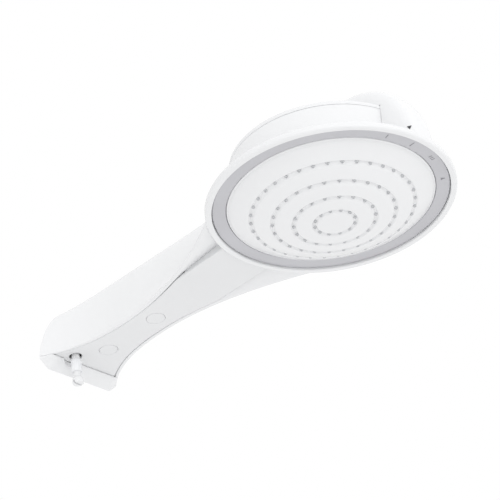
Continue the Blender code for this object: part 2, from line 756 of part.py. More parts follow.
def diaphragm_cover():
    low, brim, wall, stem = MEMBRANE_Z[0], MEMBRANE_Z[1] + 1.4, COVER_WALL, STEM_R + RUN
    profile = [
        (COVER_R - wall, low), (COVER_R, low), (COVER_R, brim + wall), (NECK_R, brim + wall), (NECK_R, COVER_TOP),
        (stem, COVER_TOP), (stem, COVER_TOP - wall), (NECK_R - wall, COVER_TOP - wall), (NECK_R - wall, brim),
        (COVER_R - wall, brim),
    ]
    return turned("diaphragm_cover", profile, INNER, (HEAD_X, 0.0), INNER_STEPS)


def contact_lifter():
    seat, top = BRIDGE_Z - GAP, BRIDGE_Z + BRIDGE_T + 1.0
    profile = [
        (0.0, LIFTER_Z), (LIFTER_R, LIFTER_Z), (LIFTER_R, LIFTER_Z + LIFTER_T), (STEM_R, LIFTER_Z + LIFTER_T),
        (STEM_R, seat), (PEG_R, seat), (PEG_R, top), (0.0, top),
    ]
    return turned("contact_lifter", profile, WHITE, (HEAD_X, 0.0))


def return_spring():
    low, high = LIFTER_Z + LIFTER_T + GAP, COVER_TOP - COVER_WALL - GAP
    wire, coil, turns, per_turn = 0.5, 8.0, 4, 10
    points = []
    for step in range(turns * per_turn + 1):
        share = step / (turns * per_turn)
        x, y = polar(coil, 360.0 * turns * share)
        points.append((x, y, low + wire + (high - low - 2 * wire) * share))
    return swept("return_spring", points, wire, STEEL)


def contact_bridge():
    bridge = block("contact_bridge", (HEAD_X - BRIDGE_HALF, -3.5, BRIDGE_Z),
                   (HEAD_X + BRIDGE_HALF, 3.5, BRIDGE_Z + BRIDGE_T), BRASS)
    hole = rod(PEG_R + GAP, BRIDGE_Z - 2.0, BRIDGE_Z + 4.0)
    cut(bridge, turned("bridge_hole", hole, BRASS, (HEAD_X, 0.0), DRILL_STEPS))
    return bridge


def contact_frame():
    """A bridge of plastic that stands on the cover and holds the two fixed contacts."""
    low, high = COVER_TOP + GAP, FRAME_Z + 2.2
    inside = FRAME_HALF - FRAME_LEG
    frame = block("contact_frame", (HEAD_X - FRAME_HALF, -5.0, low), (HEAD_X + FRAME_HALF, 5.0, high), INNER)
    cut(frame, block("frame_gap", (HEAD_X - inside, -8.0, low - 2.0), (HEAD_X + inside, 8.0, FRAME_Z), INNER))
    for side in (-1, 1):
        place = (HEAD_X + side * CONTACT_X, 0.0)
        hole = rod(SCREW_R + GAP, FRAME_Z - 2.0, high + 2.0)
        cut(frame, turned("stud_hole", hole, INNER, place, DRILL_STEPS))
    return frame


def contact_studs():
    for side, name in ((-1, "contact_stud_rear"), (1, "contact_stud_front")):
        neck, top = STUD_Z + 1.0, FRAME_Z + 3.0
        profile = [(0.0, STUD_Z), (3.0, STUD_Z), (3.0, neck), (SCREW_R, neck), (SCREW_R, top), (0.0, top)]
        turned(name, profile, BRASS, (HEAD_X + side * CONTACT_X, 0.0), DRILL_STEPS)


# ---- wall end --------------------------------------------------------------------------------------
def foot_outline(x, drop, steps=12):
    """The foot's lower edge at a distance from the wall: level in the middle, rounded up at its corners."""
    half = rim_half(x) - 0.2
    points = []
    for step in range(steps + 1):
        share = -1.0 + 2.0 * step / steps
        points.append((x, half * share, -GAP - drop * (1.0 - 0.75 * abs(share) ** 6)))
    return [(x, half, -GAP)] + points[::-1] + [(x, -half, -GAP)]


def wall_foot():
    """Back plate that fills the arm's open end, with the flared foot below the arm's underside."""
    inner = SHELL_T + GAP
    through = (-2.0, BACK_T + 4.0)
    foot = loft("wall_foot", [section(x, inner, -4.0) for x in (0.0, BACK_T)], WHITE, 40.0)
    fan = []
    for share in (0.0, 0.15, 0.35, 0.6, 1.0):
        fan.append(foot_outline(FOOT_DEPTH * share, FOOT_DROP * (1.0 - share) ** 0.8 + 0.4))
    fuse(foot, loft("foot_flare", fan, WHITE, 40.0))
    socket, grommet = rod(SOCKET_R + GAP, *through), rod(GROMMET_R, *through)
    cut(foot, turned("socket_hole", socket, WHITE, (0.0,), SMALL_STEPS, "X", PIPE_Z))
    cut(foot, turned("grommet_hole", grommet, WHITE, (GROMMET_Y,), SMALL_STEPS, "X", GROMMET_Z))
    notch = rod(SPINDLE_HOLE_R + 4.5, -2 * FOOT_DROP, PANEL_T + 2.5)
    cut(foot, turned("spindle_notch", notch, WHITE, (STUB_X, STUB_Y)))
    return foot


def cable_grommet():
    radius, collar = GROMMET_R - GAP, GROMMET_R + GROMMET_COLLAR
    low, seat, top = 0.4, BACK_T + GAP, BACK_T + 2.0
    profile = [(GROMMET_BORE, low), (radius, low), (radius, seat), (collar, seat), (collar, top), (GROMMET_BORE, top)]
    return turned("cable_grommet", profile, BLACK_RUBBER, (GROMMET_Y,), SMALL_STEPS, "X", GROMMET_Z)


def inlet_socket():
    flange, body, seat, end = SOCKET_R + SOCKET_FLANGE, SOCKET_R - 1.0, BACK_T + GAP, SOCKET_LEN + TAIL_LEN
    profile = [
        (SOCKET_BORE, 0.0), (SOCKET_R, 0.0), (SOCKET_R, seat), (flange, seat), (flange, BACK_T + 3.0),
        (body, BACK_T + 3.0), (body, SOCKET_LEN), (SPIGOT_R, SOCKET_LEN), (SPIGOT_R, end), (SPIGOT_BORE, end),
        (SPIGOT_BORE, SOCKET_DEPTH), (SOCKET_BORE, SOCKET_DEPTH),
    ]
    return turned("inlet_socket", profile, INNER, (0.0,), SMALL_STEPS, "X", PIPE_Z)


def inlet_fittings():
    """From the wall inwards: sealing washer, strainer and flow restrictor, stacked in the socket."""
    radius = SOCKET_BORE - GAP
    washer = (SOCKET_DEPTH - 8.0, SOCKET_DEPTH - 5.5)
    mesh = (washer[1] + GAP, washer[1] + GAP + 1.2)
    restrictor = (mesh[1] + GAP, SOCKET_DEPTH - 0.6)
    turned("inlet_washer", tube(radius, radius - 3.1, *washer), BLACK_RUBBER, (0.0,), SMALL_STEPS, "X", PIPE_Z)
    strainer = turned("inlet_strainer", rod(radius, *mesh), INNER, (0.0,), SMALL_STEPS, "X", PIPE_Z)
    circle, holes = radius / 2, 6
    for index in range(holes):
        angle = math.tau * index / holes
        drill = turned("strainer_hole", rod(1.6, washer[0], SOCKET_DEPTH), INNER, (circle * math.cos(angle),), 8, "X",
                       PIPE_Z + circle * math.sin(angle))
        cut(strainer, drill)
    turned("flow_restrictor", tube(radius, 1.8, *restrictor), WHITE, (0.0,), SMALL_STEPS, "X", PIPE_Z)


def water_tube():
    low, high = SOCKET_LEN + GAP, HEAD_X - CHAMBER_R - GAP
    return turned("water_tube", tube(TUBE_R, TUBE_BORE, low, high), WHITE, (0.0,), SMALL_STEPS, "X", PIPE_Z)


# ---- control spindle and electronics -----------------------------------------------------------------
def control_spindle():
    """Hangs through the underside. Its slotted, flared end takes an extension rod."""
    end, tip_top, neck = -SPINDLE_DROP, TIP_H - SPINDLE_DROP, SPINDLE_R - 0.5
    shoulder, top = PANEL_T + 2.5, POT_Z[1] + 1.0
    profile = [
        (0.0, end), (TIP_R - 0.5, end), (TIP_R, end + 0.5), (TIP_R, tip_top - 2.2), (neck, tip_top),
        (neck, SLEEVE_Z[0] - GAP), (SPINDLE_R, SLEEVE_Z[0] - GAP), (SPINDLE_R, shoulder), (SHAFT_R, shoulder),
        (SHAFT_R, top), (0.0, top),
    ]
    spindle = turned("control_spindle", profile, WHITE, (STUB_X, STUB_Y))
    half, reach = 0.9, TIP_R + 3.0
    low, high = (STUB_X - half, STUB_Y - reach, end - 2.0), (STUB_X + half, STUB_Y + reach, end + 3.0)
    cut(spindle, block("rod_slot", low, high, WHITE))
    return spindle


def rod_sleeve():
    """Clear ring on the spindle that an extension rod clips over."""
    inner = SPINDLE_R + GAP / 2
    return turned("rod_sleeve", tube(inner + SLEEVE_T, inner, *SLEEVE_Z), WHITE, (STUB_X, STUB_Y))


def potentiometer():
    low = (STUB_X - 6.0, STUB_Y - POT_HALF, POT_Z[0])
    high = (STUB_X + 4.0, STUB_Y + 7.0, POT_Z[1])
    pot = block("potentiometer", low, high, DARK)
    cut(pot, turned("shaft_hole", rod(SHAFT_R + GAP, 2.0, 22.0), DARK, (STUB_X, STUB_Y), DRILL_STEPS))
    return pot


def control_board():
    low, high = BOARD_Z
    return block("control_board", (BOARD_X[0], -BOARD_HALF, low), (BOARD_X[1], BOARD_HALF, high), BOARD)


def power_switch():
    """Triac on its aluminium block, which the water tube cools."""
    low, high = BOARD_Z[1] + GAP, PIPE_Z - TUBE_R - GAP
    return block("power_switch", (SWITCH_X[0], -SWITCH_HALF, low), (SWITCH_X[1], SWITCH_HALF, high), STEEL)


def terminal_block():
    half_x, half_y = TERMINAL_HALF
    low, high = TERMINAL_Z
    piece = block("terminal_block", (TERMINAL_X - half_x, -half_y, low), (TERMINAL_X + half_x, half_y, high), DARK)
    for y in TERMINAL_Y:
        hole = rod(SCREW_R + GAP, high - 4.0, high + 6.0)
        cut(piece, turned("terminal_hole", hole, DARK, (TERMINAL_X, y), DRILL_STEPS))
    return piece


def terminal_screws():
    for number, y in enumerate(TERMINAL_Y, start=1):
        machine_screw(f"terminal_screw_{number}", (TERMINAL_X, y), TERMINAL_Z[1] + GAP, -3.8, BRASS, head_h=1.6)


# ---- underside ------------------------------------------------------------------------------------
def pocket_start():
    """Where the arm has grown wider than the panel, so that a pocket opens beside it."""
    x = WAIST_X
    while inner_half(x, PANEL_T) - PANEL_SIDE_GAP < PANEL_HALF:
        x += 1.0
    return x


def panel_outline(level):
    """One side after the other: along the arm's edge, beside the pocket, and round the rim of the head."""
    first, last, steps = BACK_T + GAP, pocket_start(), 20
    side = []
    for step in range(steps + 1):
        x = first + (last - first) * step / steps
        limit = PANEL_HALF if x > WAIST_X else WALL_HALF
        side.append((x, min(inner_half(x, level) - PANEL_SIDE_GAP, limit)))
    rim = RIM_R + GAP
    half_angle = math.asin(PANEL_HALF / rim)
    arc = []
    for step in range(9):
        angle = math.pi - half_angle + 2 * half_angle * step / 8
        arc.append((HEAD_X + rim * math.cos(angle), rim * math.sin(angle)))
    outline = side + arc + [(px, -py) for px, py in reversed(side)]
    return [(px, py, level) for px, py in outline]


def pocket_wall(sign):
    """Closes the space inside the arm beside a pocket: its top follows the shell's inner face."""
    first, last, steps = pocket_start() + 6.0, HEAD_X - RIM_R - 2.0, 4
    inner, outer = PANEL_HALF - 2.0, PANEL_HALF - 0.2
    loops = []
    for step in range(steps + 1):
        x = first + (last - first) * step / steps
        top = max(ceiling(x, PANEL_HALF) - 2 * GAP, 1.5)
        loops.append([(x, sign * inner, 0.8), (x, sign * outer, 0.8), (x, sign * outer, top), (x, sign * inner, top)])
    return loft("pocket_wall", loops, PANEL)


def bottom_panel():
    panel = loft("bottom_panel", [panel_outline(0.0), panel_outline(PANEL_T)], PANEL)
    for sign in (-1, 1):
        fuse(panel, pocket_wall(sign))
    for x in PLUG_X:
        fuse(panel, turned("screw_boss", rod(PLUG_R + 2.0, 0.8, BOSS_TOP), PANEL, (x, 0.0)))
    for x in PLUG_X:
        seat, head, shank = PLUG_R + 0.2, 3.6, SCREW_R + GAP
        under, floor, step, over = -2.0, PLUG_T + 0.2, BOSS_TOP - 2.0, BOSS_TOP + 5.0
        steps = [(0.0, under), (seat, under), (seat, floor), (head, floor), (head, step), (shank, step),
                 (shank, over), (0.0, over)]
        cut(panel, turned("screw_seat", steps, PANEL, (x, 0.0)))
    hole = rod(SPINDLE_HOLE_R, -3.0, PANEL_T + 3.0)
    cut(panel, turned("spindle_hole", hole, PANEL, (STUB_X, STUB_Y)))
    return panel


def panel_fixings():
    for number, x in enumerate(PLUG_X, start=1):
        plug = [(0.0, -0.3), (PLUG_R - 0.5, -0.3), (PLUG_R, 0.2), (PLUG_R, PLUG_T), (0.0, PLUG_T)]
        turned(f"screw_plug_{number}", plug, PANEL, (x, 0.0))
        head_low = BOSS_TOP - 2.0 - GAP - 2.3
        machine_screw(f"panel_screw_{number}", (x, 0.0), head_low, 11.5, STEEL, head=3.2, head_h=2.3)


def tube_saddles():
    """Cross pieces fixed in the shell: the tube lies in them and the panel screws bite into them."""
    for number, x in enumerate(PLUG_X, start=1):
        start, end = x - SADDLE_HALF, x + SADDLE_HALF
        half = min(rim_half(start), rim_half(end)) - SHELL_T - 4.5
        saddle = block(f"tube_saddle_{number}", (start, -half, BOSS_TOP + GAP), (end, half, PIPE_Z - 2.0), INNER)
        bed = rod(TUBE_R + GAP, start - 4.0, end + 4.0)
        cut(saddle, turned("tube_bed", bed, INNER, (0.0,), SMALL_STEPS, "X", PIPE_Z))
        cut(saddle, turned("screw_bite", rod(SCREW_R + GAP / 2, 3.0, 30.0), INNER, (x, 0.0), DRILL_STEPS))


def pointer():
    """Dark triangle at the foot of the spine's nose, which the ring's marks are read against."""
    half, nearer = (outer_half(x, POINTER_Z) for x in (POINTER_X, POINTER_X - 1.0))
    normal = Vector((nearer - half, -1.0, 0.0)).normalized()
    across = Vector((0.0, 0.0, 1.0)).cross(normal)
    middle = Vector((POINTER_X, -half, POINTER_Z)) + normal * 2 * GAP
    bm = bmesh.new()
    corners = []
    for side, level in ((0.0, -1.6), (1.9, 1.6), (-1.9, 1.6)):
        corners.append(bm.verts.new(middle + across * side + Vector((0.0, 0.0, level))))
    face = bm.faces.new(corners)
    raised = bmesh.ops.extrude_face_region(bm, geom=[face])
    moved = [item for item in raised["geom"] if isinstance(item, bmesh.types.BMVert)]
    bmesh.ops.translate(bm, verts=moved, vec=normal * 0.5)
    return add_object("pointer", bm, DARK)


def set_pivot(obj, place):
    """Moves an object's origin to its joint's axis without moving the object."""
    shift = Vector(place) * MM
    obj.data.transform(Matrix.Translation(-shift))
    obj.location = shift


def build():
    upper_shell()
    head_body()
    drum_lid()
    wall_foot()
    cable_grommet()
    inlet_socket()
    inlet_fittings()
    water_tube()
    bottom_panel()
    panel_fixings()
    tube_saddles()
    pointer()
    for turning in (spray_plate(), nozzle_mat(), manifold_plate(), selector_ring(), pivot_clip()):
        set_pivot(turning, (HEAD_X, 0.0, 0.0))
    port_plate()
    port_seal()
    chamber_gasket()
    chamber_body()
    chamber_lid()
    chamber_screws()
    element_carrier()
    heating_coil("heating_coil_main", COIL_PLACES[0], 20.0, 340.0, 18)
    heating_coil("heating_coil_boost", COIL_PLACES[1], 30.0, 330.0, 10)
    diaphragm()
    diaphragm_cover()
    for lifting in (contact_lifter(), contact_bridge()):
        set_pivot(lifting, (HEAD_X, 0.0, LIFTER_Z))
    return_spring()
    contact_frame()
    contact_studs()
    for turning in (control_spindle(), rod_sleeve()):
        set_pivot(turning, (STUB_X, STUB_Y, 0.0))
    potentiometer()
    control_board()
    power_switch()
    terminal_block()
    terminal_screws()


build()
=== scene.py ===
"""Looks of the wall-mounted electric shower head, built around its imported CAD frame.

Every visible moulding is a fine mesh that replaces its CAD node; the pieces inside the housing keep
their CAD shape and get procedural materials. Sizes are in millimetres and are read from the frame
where a node gives them.
"""

import json
import math

import bmesh
import bpy
from mathutils import Matrix, Vector


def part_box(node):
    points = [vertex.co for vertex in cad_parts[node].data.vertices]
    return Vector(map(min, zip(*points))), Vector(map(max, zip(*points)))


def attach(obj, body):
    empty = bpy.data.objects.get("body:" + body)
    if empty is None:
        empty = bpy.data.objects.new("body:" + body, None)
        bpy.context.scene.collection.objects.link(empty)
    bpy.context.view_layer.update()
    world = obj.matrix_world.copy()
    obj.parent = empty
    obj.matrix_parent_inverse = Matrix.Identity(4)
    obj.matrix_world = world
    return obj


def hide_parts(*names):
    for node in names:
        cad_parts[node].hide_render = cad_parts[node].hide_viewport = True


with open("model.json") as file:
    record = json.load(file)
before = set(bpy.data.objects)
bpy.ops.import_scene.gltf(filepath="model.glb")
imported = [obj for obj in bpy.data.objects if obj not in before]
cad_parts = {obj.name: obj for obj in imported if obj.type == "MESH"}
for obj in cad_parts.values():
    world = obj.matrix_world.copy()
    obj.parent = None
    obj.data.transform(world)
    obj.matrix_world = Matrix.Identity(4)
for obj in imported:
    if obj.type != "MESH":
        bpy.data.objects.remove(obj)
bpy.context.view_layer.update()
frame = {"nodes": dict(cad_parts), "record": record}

MM = 0.001


def node_box(name):
    """Lowest and highest corner of a CAD node in millimetres."""
    low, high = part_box(name)
    return Vector(low) / MM, Vector(high) / MM


# ---- sizes read from the frame -----------------------------------------------------------------
SHELL_LOW, SHELL_HIGH = node_box("upper_shell")
RING_LOW, RING_HIGH = node_box("selector_ring")
LID_LOW, LID_HIGH = node_box("drum_lid")
BODY_LOW, BODY_HIGH = node_box("head_body")
PLATE_LOW, PLATE_HIGH = node_box("spray_plate")
FOOT_LOW = node_box("wall_foot")[0]
PANEL_LOW = node_box("bottom_panel")[0]
SPINDLE_LOW, SPINDLE_HIGH = node_box("control_spindle")
SLEEVE_LOW, SLEEVE_HIGH = node_box("rod_sleeve")
SOCKET_LOW, SOCKET_HIGH = node_box("inlet_socket")
PLUGS = [node_box(f"screw_plug_{number}") for number in (1, 2)]

HEAD_X = (LID_LOW.x + LID_HIGH.x) / 2
DRUM_R = (LID_HIGH.x - LID_LOW.x) / 2
DRUM_TOP = LID_HIGH.z
RIM_R = SHELL_HIGH.y
RIM_LOW = SHELL_LOW.z
RING_R = (RING_HIGH.y - RING_LOW.y) / 2
RING_H = RING_HIGH.z
FACE_R = (PLATE_HIGH.y - PLATE_LOW.y) / 2
SPINE_END_X = SHELL_HIGH.x
CROWN_H = SHELL_HIGH.z
STUB_X = (SPINDLE_LOW.x + SPINDLE_HIGH.x) / 2
STUB_Y = (SPINDLE_LOW.y + SPINDLE_HIGH.y) / 2
PIPE_Z = (SOCKET_LOW.z + SOCKET_HIGH.z) / 2
FOOT_DROP = -FOOT_LOW.z

# ---- sizes of the finished surfaces ------------------------------------------------------------
GAP = 0.3                 # between pieces that touch
EDGE_R = 0.7              # rounding of moulded edges
ROUND_STEPS = 192

# arm
WALL_HALF = 46.0          # half width at the wall
WAIST_X = 92.0
WAIST_HALF = 21.0
RIM_JOIN_X = HEAD_X - 80.0
RIM_JOIN_HALF = 68.0
WING_END_X = HEAD_X - 54.0
SHELL_T = 3.0
CROWN_X = HEAD_X + 30.0   # where the spine starts to fall to its far end
END_POWER = 2.1           # how squarely the spine's end falls
NOSE_POWER = 4.5          # how squarely it is rounded in plan
POINTER_X = SPINE_END_X - 4.0
POINTER_Z = 8.0
SOFTNESS = 5.0            # rounding where the arm's flare meets the head's

# head
RIM_T = 2.2               # height of the rim's upright edge
RIM_EDGE = 2.0            # rounding under the rim
BEAD_W = 4.5
BEAD_TOP = 4.8
FLARE_TOP = 19.0
FLARE_POWER = 2.2
SEAT_R = RING_R + 0.5     # seat of the turning ring
SEAT_Z = RING_H + 0.5
SEAT_EDGE = 0.9
HOUSING_T = 2.5
FLOOR_HOLE_R = 74.5       # opening in the floor of the round housing
LID_HOLE_R = 29.0
LID_STEP_R = 17.8         # the lid's opening is narrower in its top, around the pressure cover
LID_STEP_T = 2.3

# underside and wall end
PANEL_HALF = 27.0
PANEL_GAP = 0.45
PANEL_T = 2.5
SPINDLE_HOLE_R = 6.0
FOOT_DEPTH = 10.0
SOCKET_HOLE_R = 15.3
GROMMET_Y = 25.0
GROMMET_Z = 15.0
GROMMET_R = 6.0
STEM_R = 3.65
NECK_R = 3.2
SHAFT_R = 2.4
ROD_SLOT = (1.8, 14.0, 6.0)

# spray face
DOME_DROP = 22.5
DOME_POWER = 2.6
PLATE_T = 2.2
GROOVE_DEPTH = 1.9
GROOVE_HALF = 2.5
NOZZLE_COUNTS = (12, 18, 26, 36)
FACE_MARGIN = 19.2
NOZZLE_PITCH = (FACE_R - FACE_MARGIN) / len(NOZZLE_COUNTS)
NOZZLE_RINGS = [(NOZZLE_PITCH * number, count) for number, count in enumerate(NOZZLE_COUNTS, start=1)]

# ring marks: angle and, for each stroke, its offset, length and width; the last mark is a wedge
MARK_STROKES = {
    -17.8: ((0.0, 4.6, 0.55),),
    -2.1: ((0.0, 5.4, 0.55),),
    14.9: ((-2.4, 3.2, 0.5), (0.0, 3.2, 0.5), (2.4, 3.2, 0.5)),
    35.3: (),
}
MARK_WEDGE = ((-1.9, -1.5), (-1.9, 1.5), (2.0, 0.0))
MARK_T = 0.5
MARK_PROUD = 0.12


# ---- materials ---------------------------------------------------------------------------------
def material(
    name, colour, roughness, metallic=0.0, coat=0.0, tint=0.03, grain=900.0, bump=0.02, speck=0.06
):
    """Moulded or metal surface, with cloudy colour, uneven gloss and a fine grain from noise."""
    made = bpy.data.materials.new(name)
    made.use_nodes = True
    nodes, links = made.node_tree.nodes, made.node_tree.links
    shader = nodes["Principled BSDF"]
    shader.inputs["Metallic"].default_value = metallic
    shader.inputs["Coat Weight"].default_value = coat
    shader.inputs["Coat Roughness"].default_value = 0.12
    place = nodes.new("ShaderNodeTexCoord")

    cloud = nodes.new("ShaderNodeTexNoise")
    cloud.inputs["Scale"].default_value = 14.0
    cloud.inputs["Detail"].default_value = 3.0
    links.new(place.outputs["Object"], cloud.inputs["Vector"])
    colours = nodes.new("ShaderNodeValToRGB")
    colours.color_ramp.elements[0].position = 0.3
    colours.color_ramp.elements[1].position = 0.7
    colours.color_ramp.elements[0].color = (*(c * (1.0 - tint) for c in colour), 1.0)
    colours.color_ramp.elements[1].color = (*(min(c * (1.0 + tint), 1.0) for c in colour), 1.0)
    links.new(cloud.outputs["Fac"], colours.inputs["Fac"])
    links.new(colours.outputs["Color"], shader.inputs["Base Color"])

    fine = nodes.new("ShaderNodeTexNoise")
    fine.inputs["Scale"].default_value = grain
    fine.inputs["Detail"].default_value = 2.0
    links.new(place.outputs["Object"], fine.inputs["Vector"])
    gloss = nodes.new("ShaderNodeMapRange")
    gloss.inputs["To Min"].default_value = roughness - speck * 0.5
    gloss.inputs["To Max"].default_value = roughness + speck * 0.5
    links.new(fine.outputs["Fac"], gloss.inputs["Value"])
    links.new(gloss.outputs["Result"], shader.inputs["Roughness"])
    relief = nodes.new("ShaderNodeBump")
    relief.inputs["Strength"].default_value = bump
    relief.inputs["Distance"].default_value = 0.0002
    links.new(fine.outputs["Fac"], relief.inputs["Height"])
    links.new(relief.outputs["Normal"], shader.inputs["Normal"])
    return made


WHITE = material("gloss_white_abs", (0.83, 0.835, 0.845), 0.24, coat=0.25, tint=0.008)
PANEL_WHITE = material(
    "panel_white_abs", (0.78, 0.785, 0.795), 0.36, tint=0.012, grain=1400.0, bump=0.06
)
SILVER = material(
    "satin_silver_paint", (0.56, 0.56, 0.585), 0.34, metallic=0.55, tint=0.03, grain=2600.0, bump=0.05
)
# the nubs are white silicone; their grey base colour is painted shade, standing in for the dark shadow
# around each nub
NUB = material(
    "white_silicone_painted_shade_grey", (0.56, 0.57, 0.585), 0.22, tint=0.02, grain=1500.0, bump=0.05
)
CLEAR = material("milky_sleeve", (0.86, 0.87, 0.89), 0.14, coat=0.4, tint=0.01)
DARK = material("dark_grey_print", (0.035, 0.035, 0.04), 0.45, tint=0.10)
# the ring's marks are embossed in the ring's own finish; this dark grey is painted shade standing in
# for the shade of their relief
MARK = material("mark_painted_shade_grey", (0.25, 0.25, 0.27), 0.40, tint=0.05)
INNER = material("inner_grey_moulding", (0.55, 0.56, 0.58), 0.45, tint=0.04, bump=0.10)
BLACK = material("black_rubber_seal", (0.03, 0.03, 0.032), 0.65, tint=0.15, grain=700.0, bump=0.15)
METAL = {"metallic": 1.0, "grain": 500.0}
STEEL = material(
    "zinc_plated_steel", (0.62, 0.63, 0.65), 0.32, tint=0.08, bump=0.05, speck=0.15, **METAL
)
BRASS = material(
    "machined_brass", (0.78, 0.58, 0.28), 0.28, tint=0.08, bump=0.05, speck=0.15, **METAL
)
WIRE = material("heated_wire", (0.34, 0.30, 0.28), 0.45, tint=0.25, bump=0.10, speck=0.2, **METAL)
BOARD = material(
    "green_circuit_board", (0.03, 0.20, 0.09), 0.40, coat=0.3, tint=0.15, grain=400.0, bump=0.10
)


# ---- making meshes -----------------------------------------------------------------------------
def add_object(name, bm, finish, smooth=32.0):
    """Turns a bmesh, built in millimetres, into a named object in metres."""
    bmesh.ops.remove_doubles(bm, verts=bm.verts, dist=1e-4)
    bmesh.ops.recalc_face_normals(bm, faces=bm.faces)
    bmesh.ops.scale(bm, vec=(MM, MM, MM), verts=bm.verts)
    mesh = bpy.data.meshes.new(name)
    bm.to_mesh(mesh)
    bm.free()
    mesh.materials.append(finish)
    mesh.shade_smooth()
    mesh.set_sharp_from_angle(angle=math.radians(smooth))
    obj = bpy.data.objects.new(name, mesh)
    bpy.context.scene.collection.objects.link(obj)
    return obj


def turned_mesh(profile, steps):
    """A bmesh of revolution around Z from a closed list of (radius, level)."""
    bm = bmesh.new()
    points = [bm.verts.new((max(radius, 0.0), 0.0, level)) for radius, level in profile]
    for first, second in zip(points, points[1:] + points[:1]):
        if first.co.x > 1e-6 or second.co.x > 1e-6:
            bm.edges.new((first, second))
    geometry = bm.verts[:] + bm.edges[:]
    bmesh.ops.spin(bm, geom=geometry, cent=(0, 0, 0), axis=(0, 0, 1), angle=math.tau, steps=steps)
    bmesh.ops.remove_doubles(bm, verts=bm.verts, dist=2e-3)
    return bm


def turned(name, profile, finish, centre=(0.0, 0.0), steps=64, along="Z", height=0.0, smooth=32.0):
    """A turned piece, upright over a centre, or lying along X at a centre's Y and a height."""
    bm = turned_mesh(profile, steps)
    if along == "X":
        bmesh.ops.rotate(bm, verts=bm.verts, matrix=Matrix.Rotation(math.pi / 2, 3, "Y"))
        bmesh.ops.translate(bm, verts=bm.verts, vec=(0.0, centre[0], height))
    else:
        bmesh.ops.translate(bm, verts=bm.verts, vec=(centre[0], centre[1], height))
    return add_object(name, bm, finish, smooth)


def rounded(points, radius, steps=4):
    """A closed outline with each corner replaced by an arc-like curve of at most that radius."""
    result = []
    count = len(points)
    for index, corner in enumerate(points):
        here = Vector((corner[0], corner[1]))
        before, after = Vector(points[index - 1][:2]), Vector(points[(index + 1) % count][:2])
        size = corner[2] if len(corner) > 2 else radius
        reach = min(size, (before - here).length * 0.45, (after - here).length * 0.45)
        if reach < 1e-3 or corner[0] < 1e-6:
            result.append((corner[0], corner[1]))
            continue
        start = here + (before - here).normalized() * reach
        end = here + (after - here).normalized() * reach
        for step in range(steps + 1):
            t = step / steps
            place = start * (1 - t) ** 2 + here * 2 * t * (1 - t) + end * t**2
            result.append((place.x, place.y))
    return result


def rod(radius, low, high):
    return [(0.0, low), (radius, low), (radius, high), (0.0, high)]


def tube(outer, inner, low, high):
    return [(inner, low), (outer, low), (outer, high), (inner, high)]


def loft_mesh(loops):
    """Skins a row of closed loops with equal numbers of points and caps both ends."""
    bm = bmesh.new()
    rings = [[bm.verts.new(point) for point in loop] for loop in loops]
    count = len(rings[0])
    for ring, following in zip(rings, rings[1:]):
        for i in range(count):
            j = (i + 1) % count
            bm.faces.new((ring[i], ring[j], following[j], following[i]))
    bm.faces.new(rings[0])
    bm.faces.new(rings[-1])
    return bm


def loft(name, loops, finish, smooth=32.0):
    return add_object(name, loft_mesh(loops), finish, smooth)


def boolean(target, tool, operation, smooth=32.0):
    """Applies a Boolean with a helper object, removes the helper and tidies the result."""
    modifier = target.modifiers.new(operation.lower(), "BOOLEAN")
    modifier.operation = operation
    modifier.object = tool
    modifier.solver = "EXACT"
    graph = bpy.context.evaluated_depsgraph_get()
    result = bpy.data.meshes.new_from_object(target.evaluated_get(graph))
    target.modifiers.clear()
    target.data = result
    bm = bmesh.new()
    bm.from_mesh(result)
    bmesh.ops.dissolve_degenerate(bm, edges=bm.edges, dist=1e-7)
    bm.to_mesh(result)
    bm.free()
    result.shade_smooth()
    result.set_sharp_from_angle(angle=math.radians(smooth))
    bpy.data.objects.remove(tool, do_unlink=True)


def cut(target, tool, smooth=32.0):
    boolean(target, tool, "DIFFERENCE", smooth)


def fuse(target, tool, smooth=32.0):
    boolean(target, tool, "UNION", smooth)


def polar(radius, degrees, centre=(HEAD_X, 0.0)):
    angle = math.radians(degrees)
    return centre[0] + radius * math.cos(angle), centre[1] + radius * math.sin(angle)


def smooth_between(x, stations, column):
    """Reads one column of a table of stations at x, with a smooth curve through its rows."""
    rows = [(row[0], row[column]) for row in stations]
    if x <= rows[0][0]:
        return rows[0][1]
    if x >= rows[-1][0]:
        return rows[-1][1]
    index = max(i for i, row in enumerate(rows) if row[0] <= x)
    slopes = []
    for i in (index, index + 1):
        before, after = rows[max(i - 1, 0)], rows[min(i + 1, len(rows) - 1)]
        slopes.append((after[1] - before[1]) / (after[0] - before[0]))
    (x0, y0), (x1, y1) = rows[index], rows[index + 1]
    span = x1 - x0
    t = (x - x0) / span
    return (
        y0 * (2 * t**3 - 3 * t**2 + 1)
        + y1 * (3 * t**2 - 2 * t**3)
        + span * slopes[0] * (t**3 - 2 * t**2 + t)
        + span * slopes[1] * (t**3 - t**2)
    )


# ---- the arm's shape ---------------------------------------------------------------------------
# x, half width of the arm's core beyond the waist
CORE_HALF = (
    (WAIST_X, WAIST_HALF),
    (150.0, 21.5),
    (RIM_JOIN_X, 23.5),
    (HEAD_X - 30.0, 24.0),
    (CROWN_X, 19.5),
    (SPINE_END_X, 18.5),
)
# x, share of the half width kept by the side's first control, its share of the height,
# share of the half width at which the crown starts
SIDE_FORM = (
    (0.0, 0.91, 0.43, 0.52),
    (WAIST_X, 0.92, 0.43, 0.52),
    (RIM_JOIN_X, 0.96, 0.60, 0.66),
    (HEAD_X - 30.0, 0.98, 0.72, 0.78),
    (HEAD_X + 20.0, 0.99, 0.88, 0.80),
    (SPINE_END_X, 0.99, 0.88, 0.76),
)
# x, height of the crown over the underside
CROWN = (
    (0.0, 60.0),
    (60.0, 62.0),
    (150.0, 59.0),
    (205.0, 58.0),
    (HEAD_X - 57.0, 63.0),
    (HEAD_X, 77.0),
    (CROWN_X, CROWN_H),
)
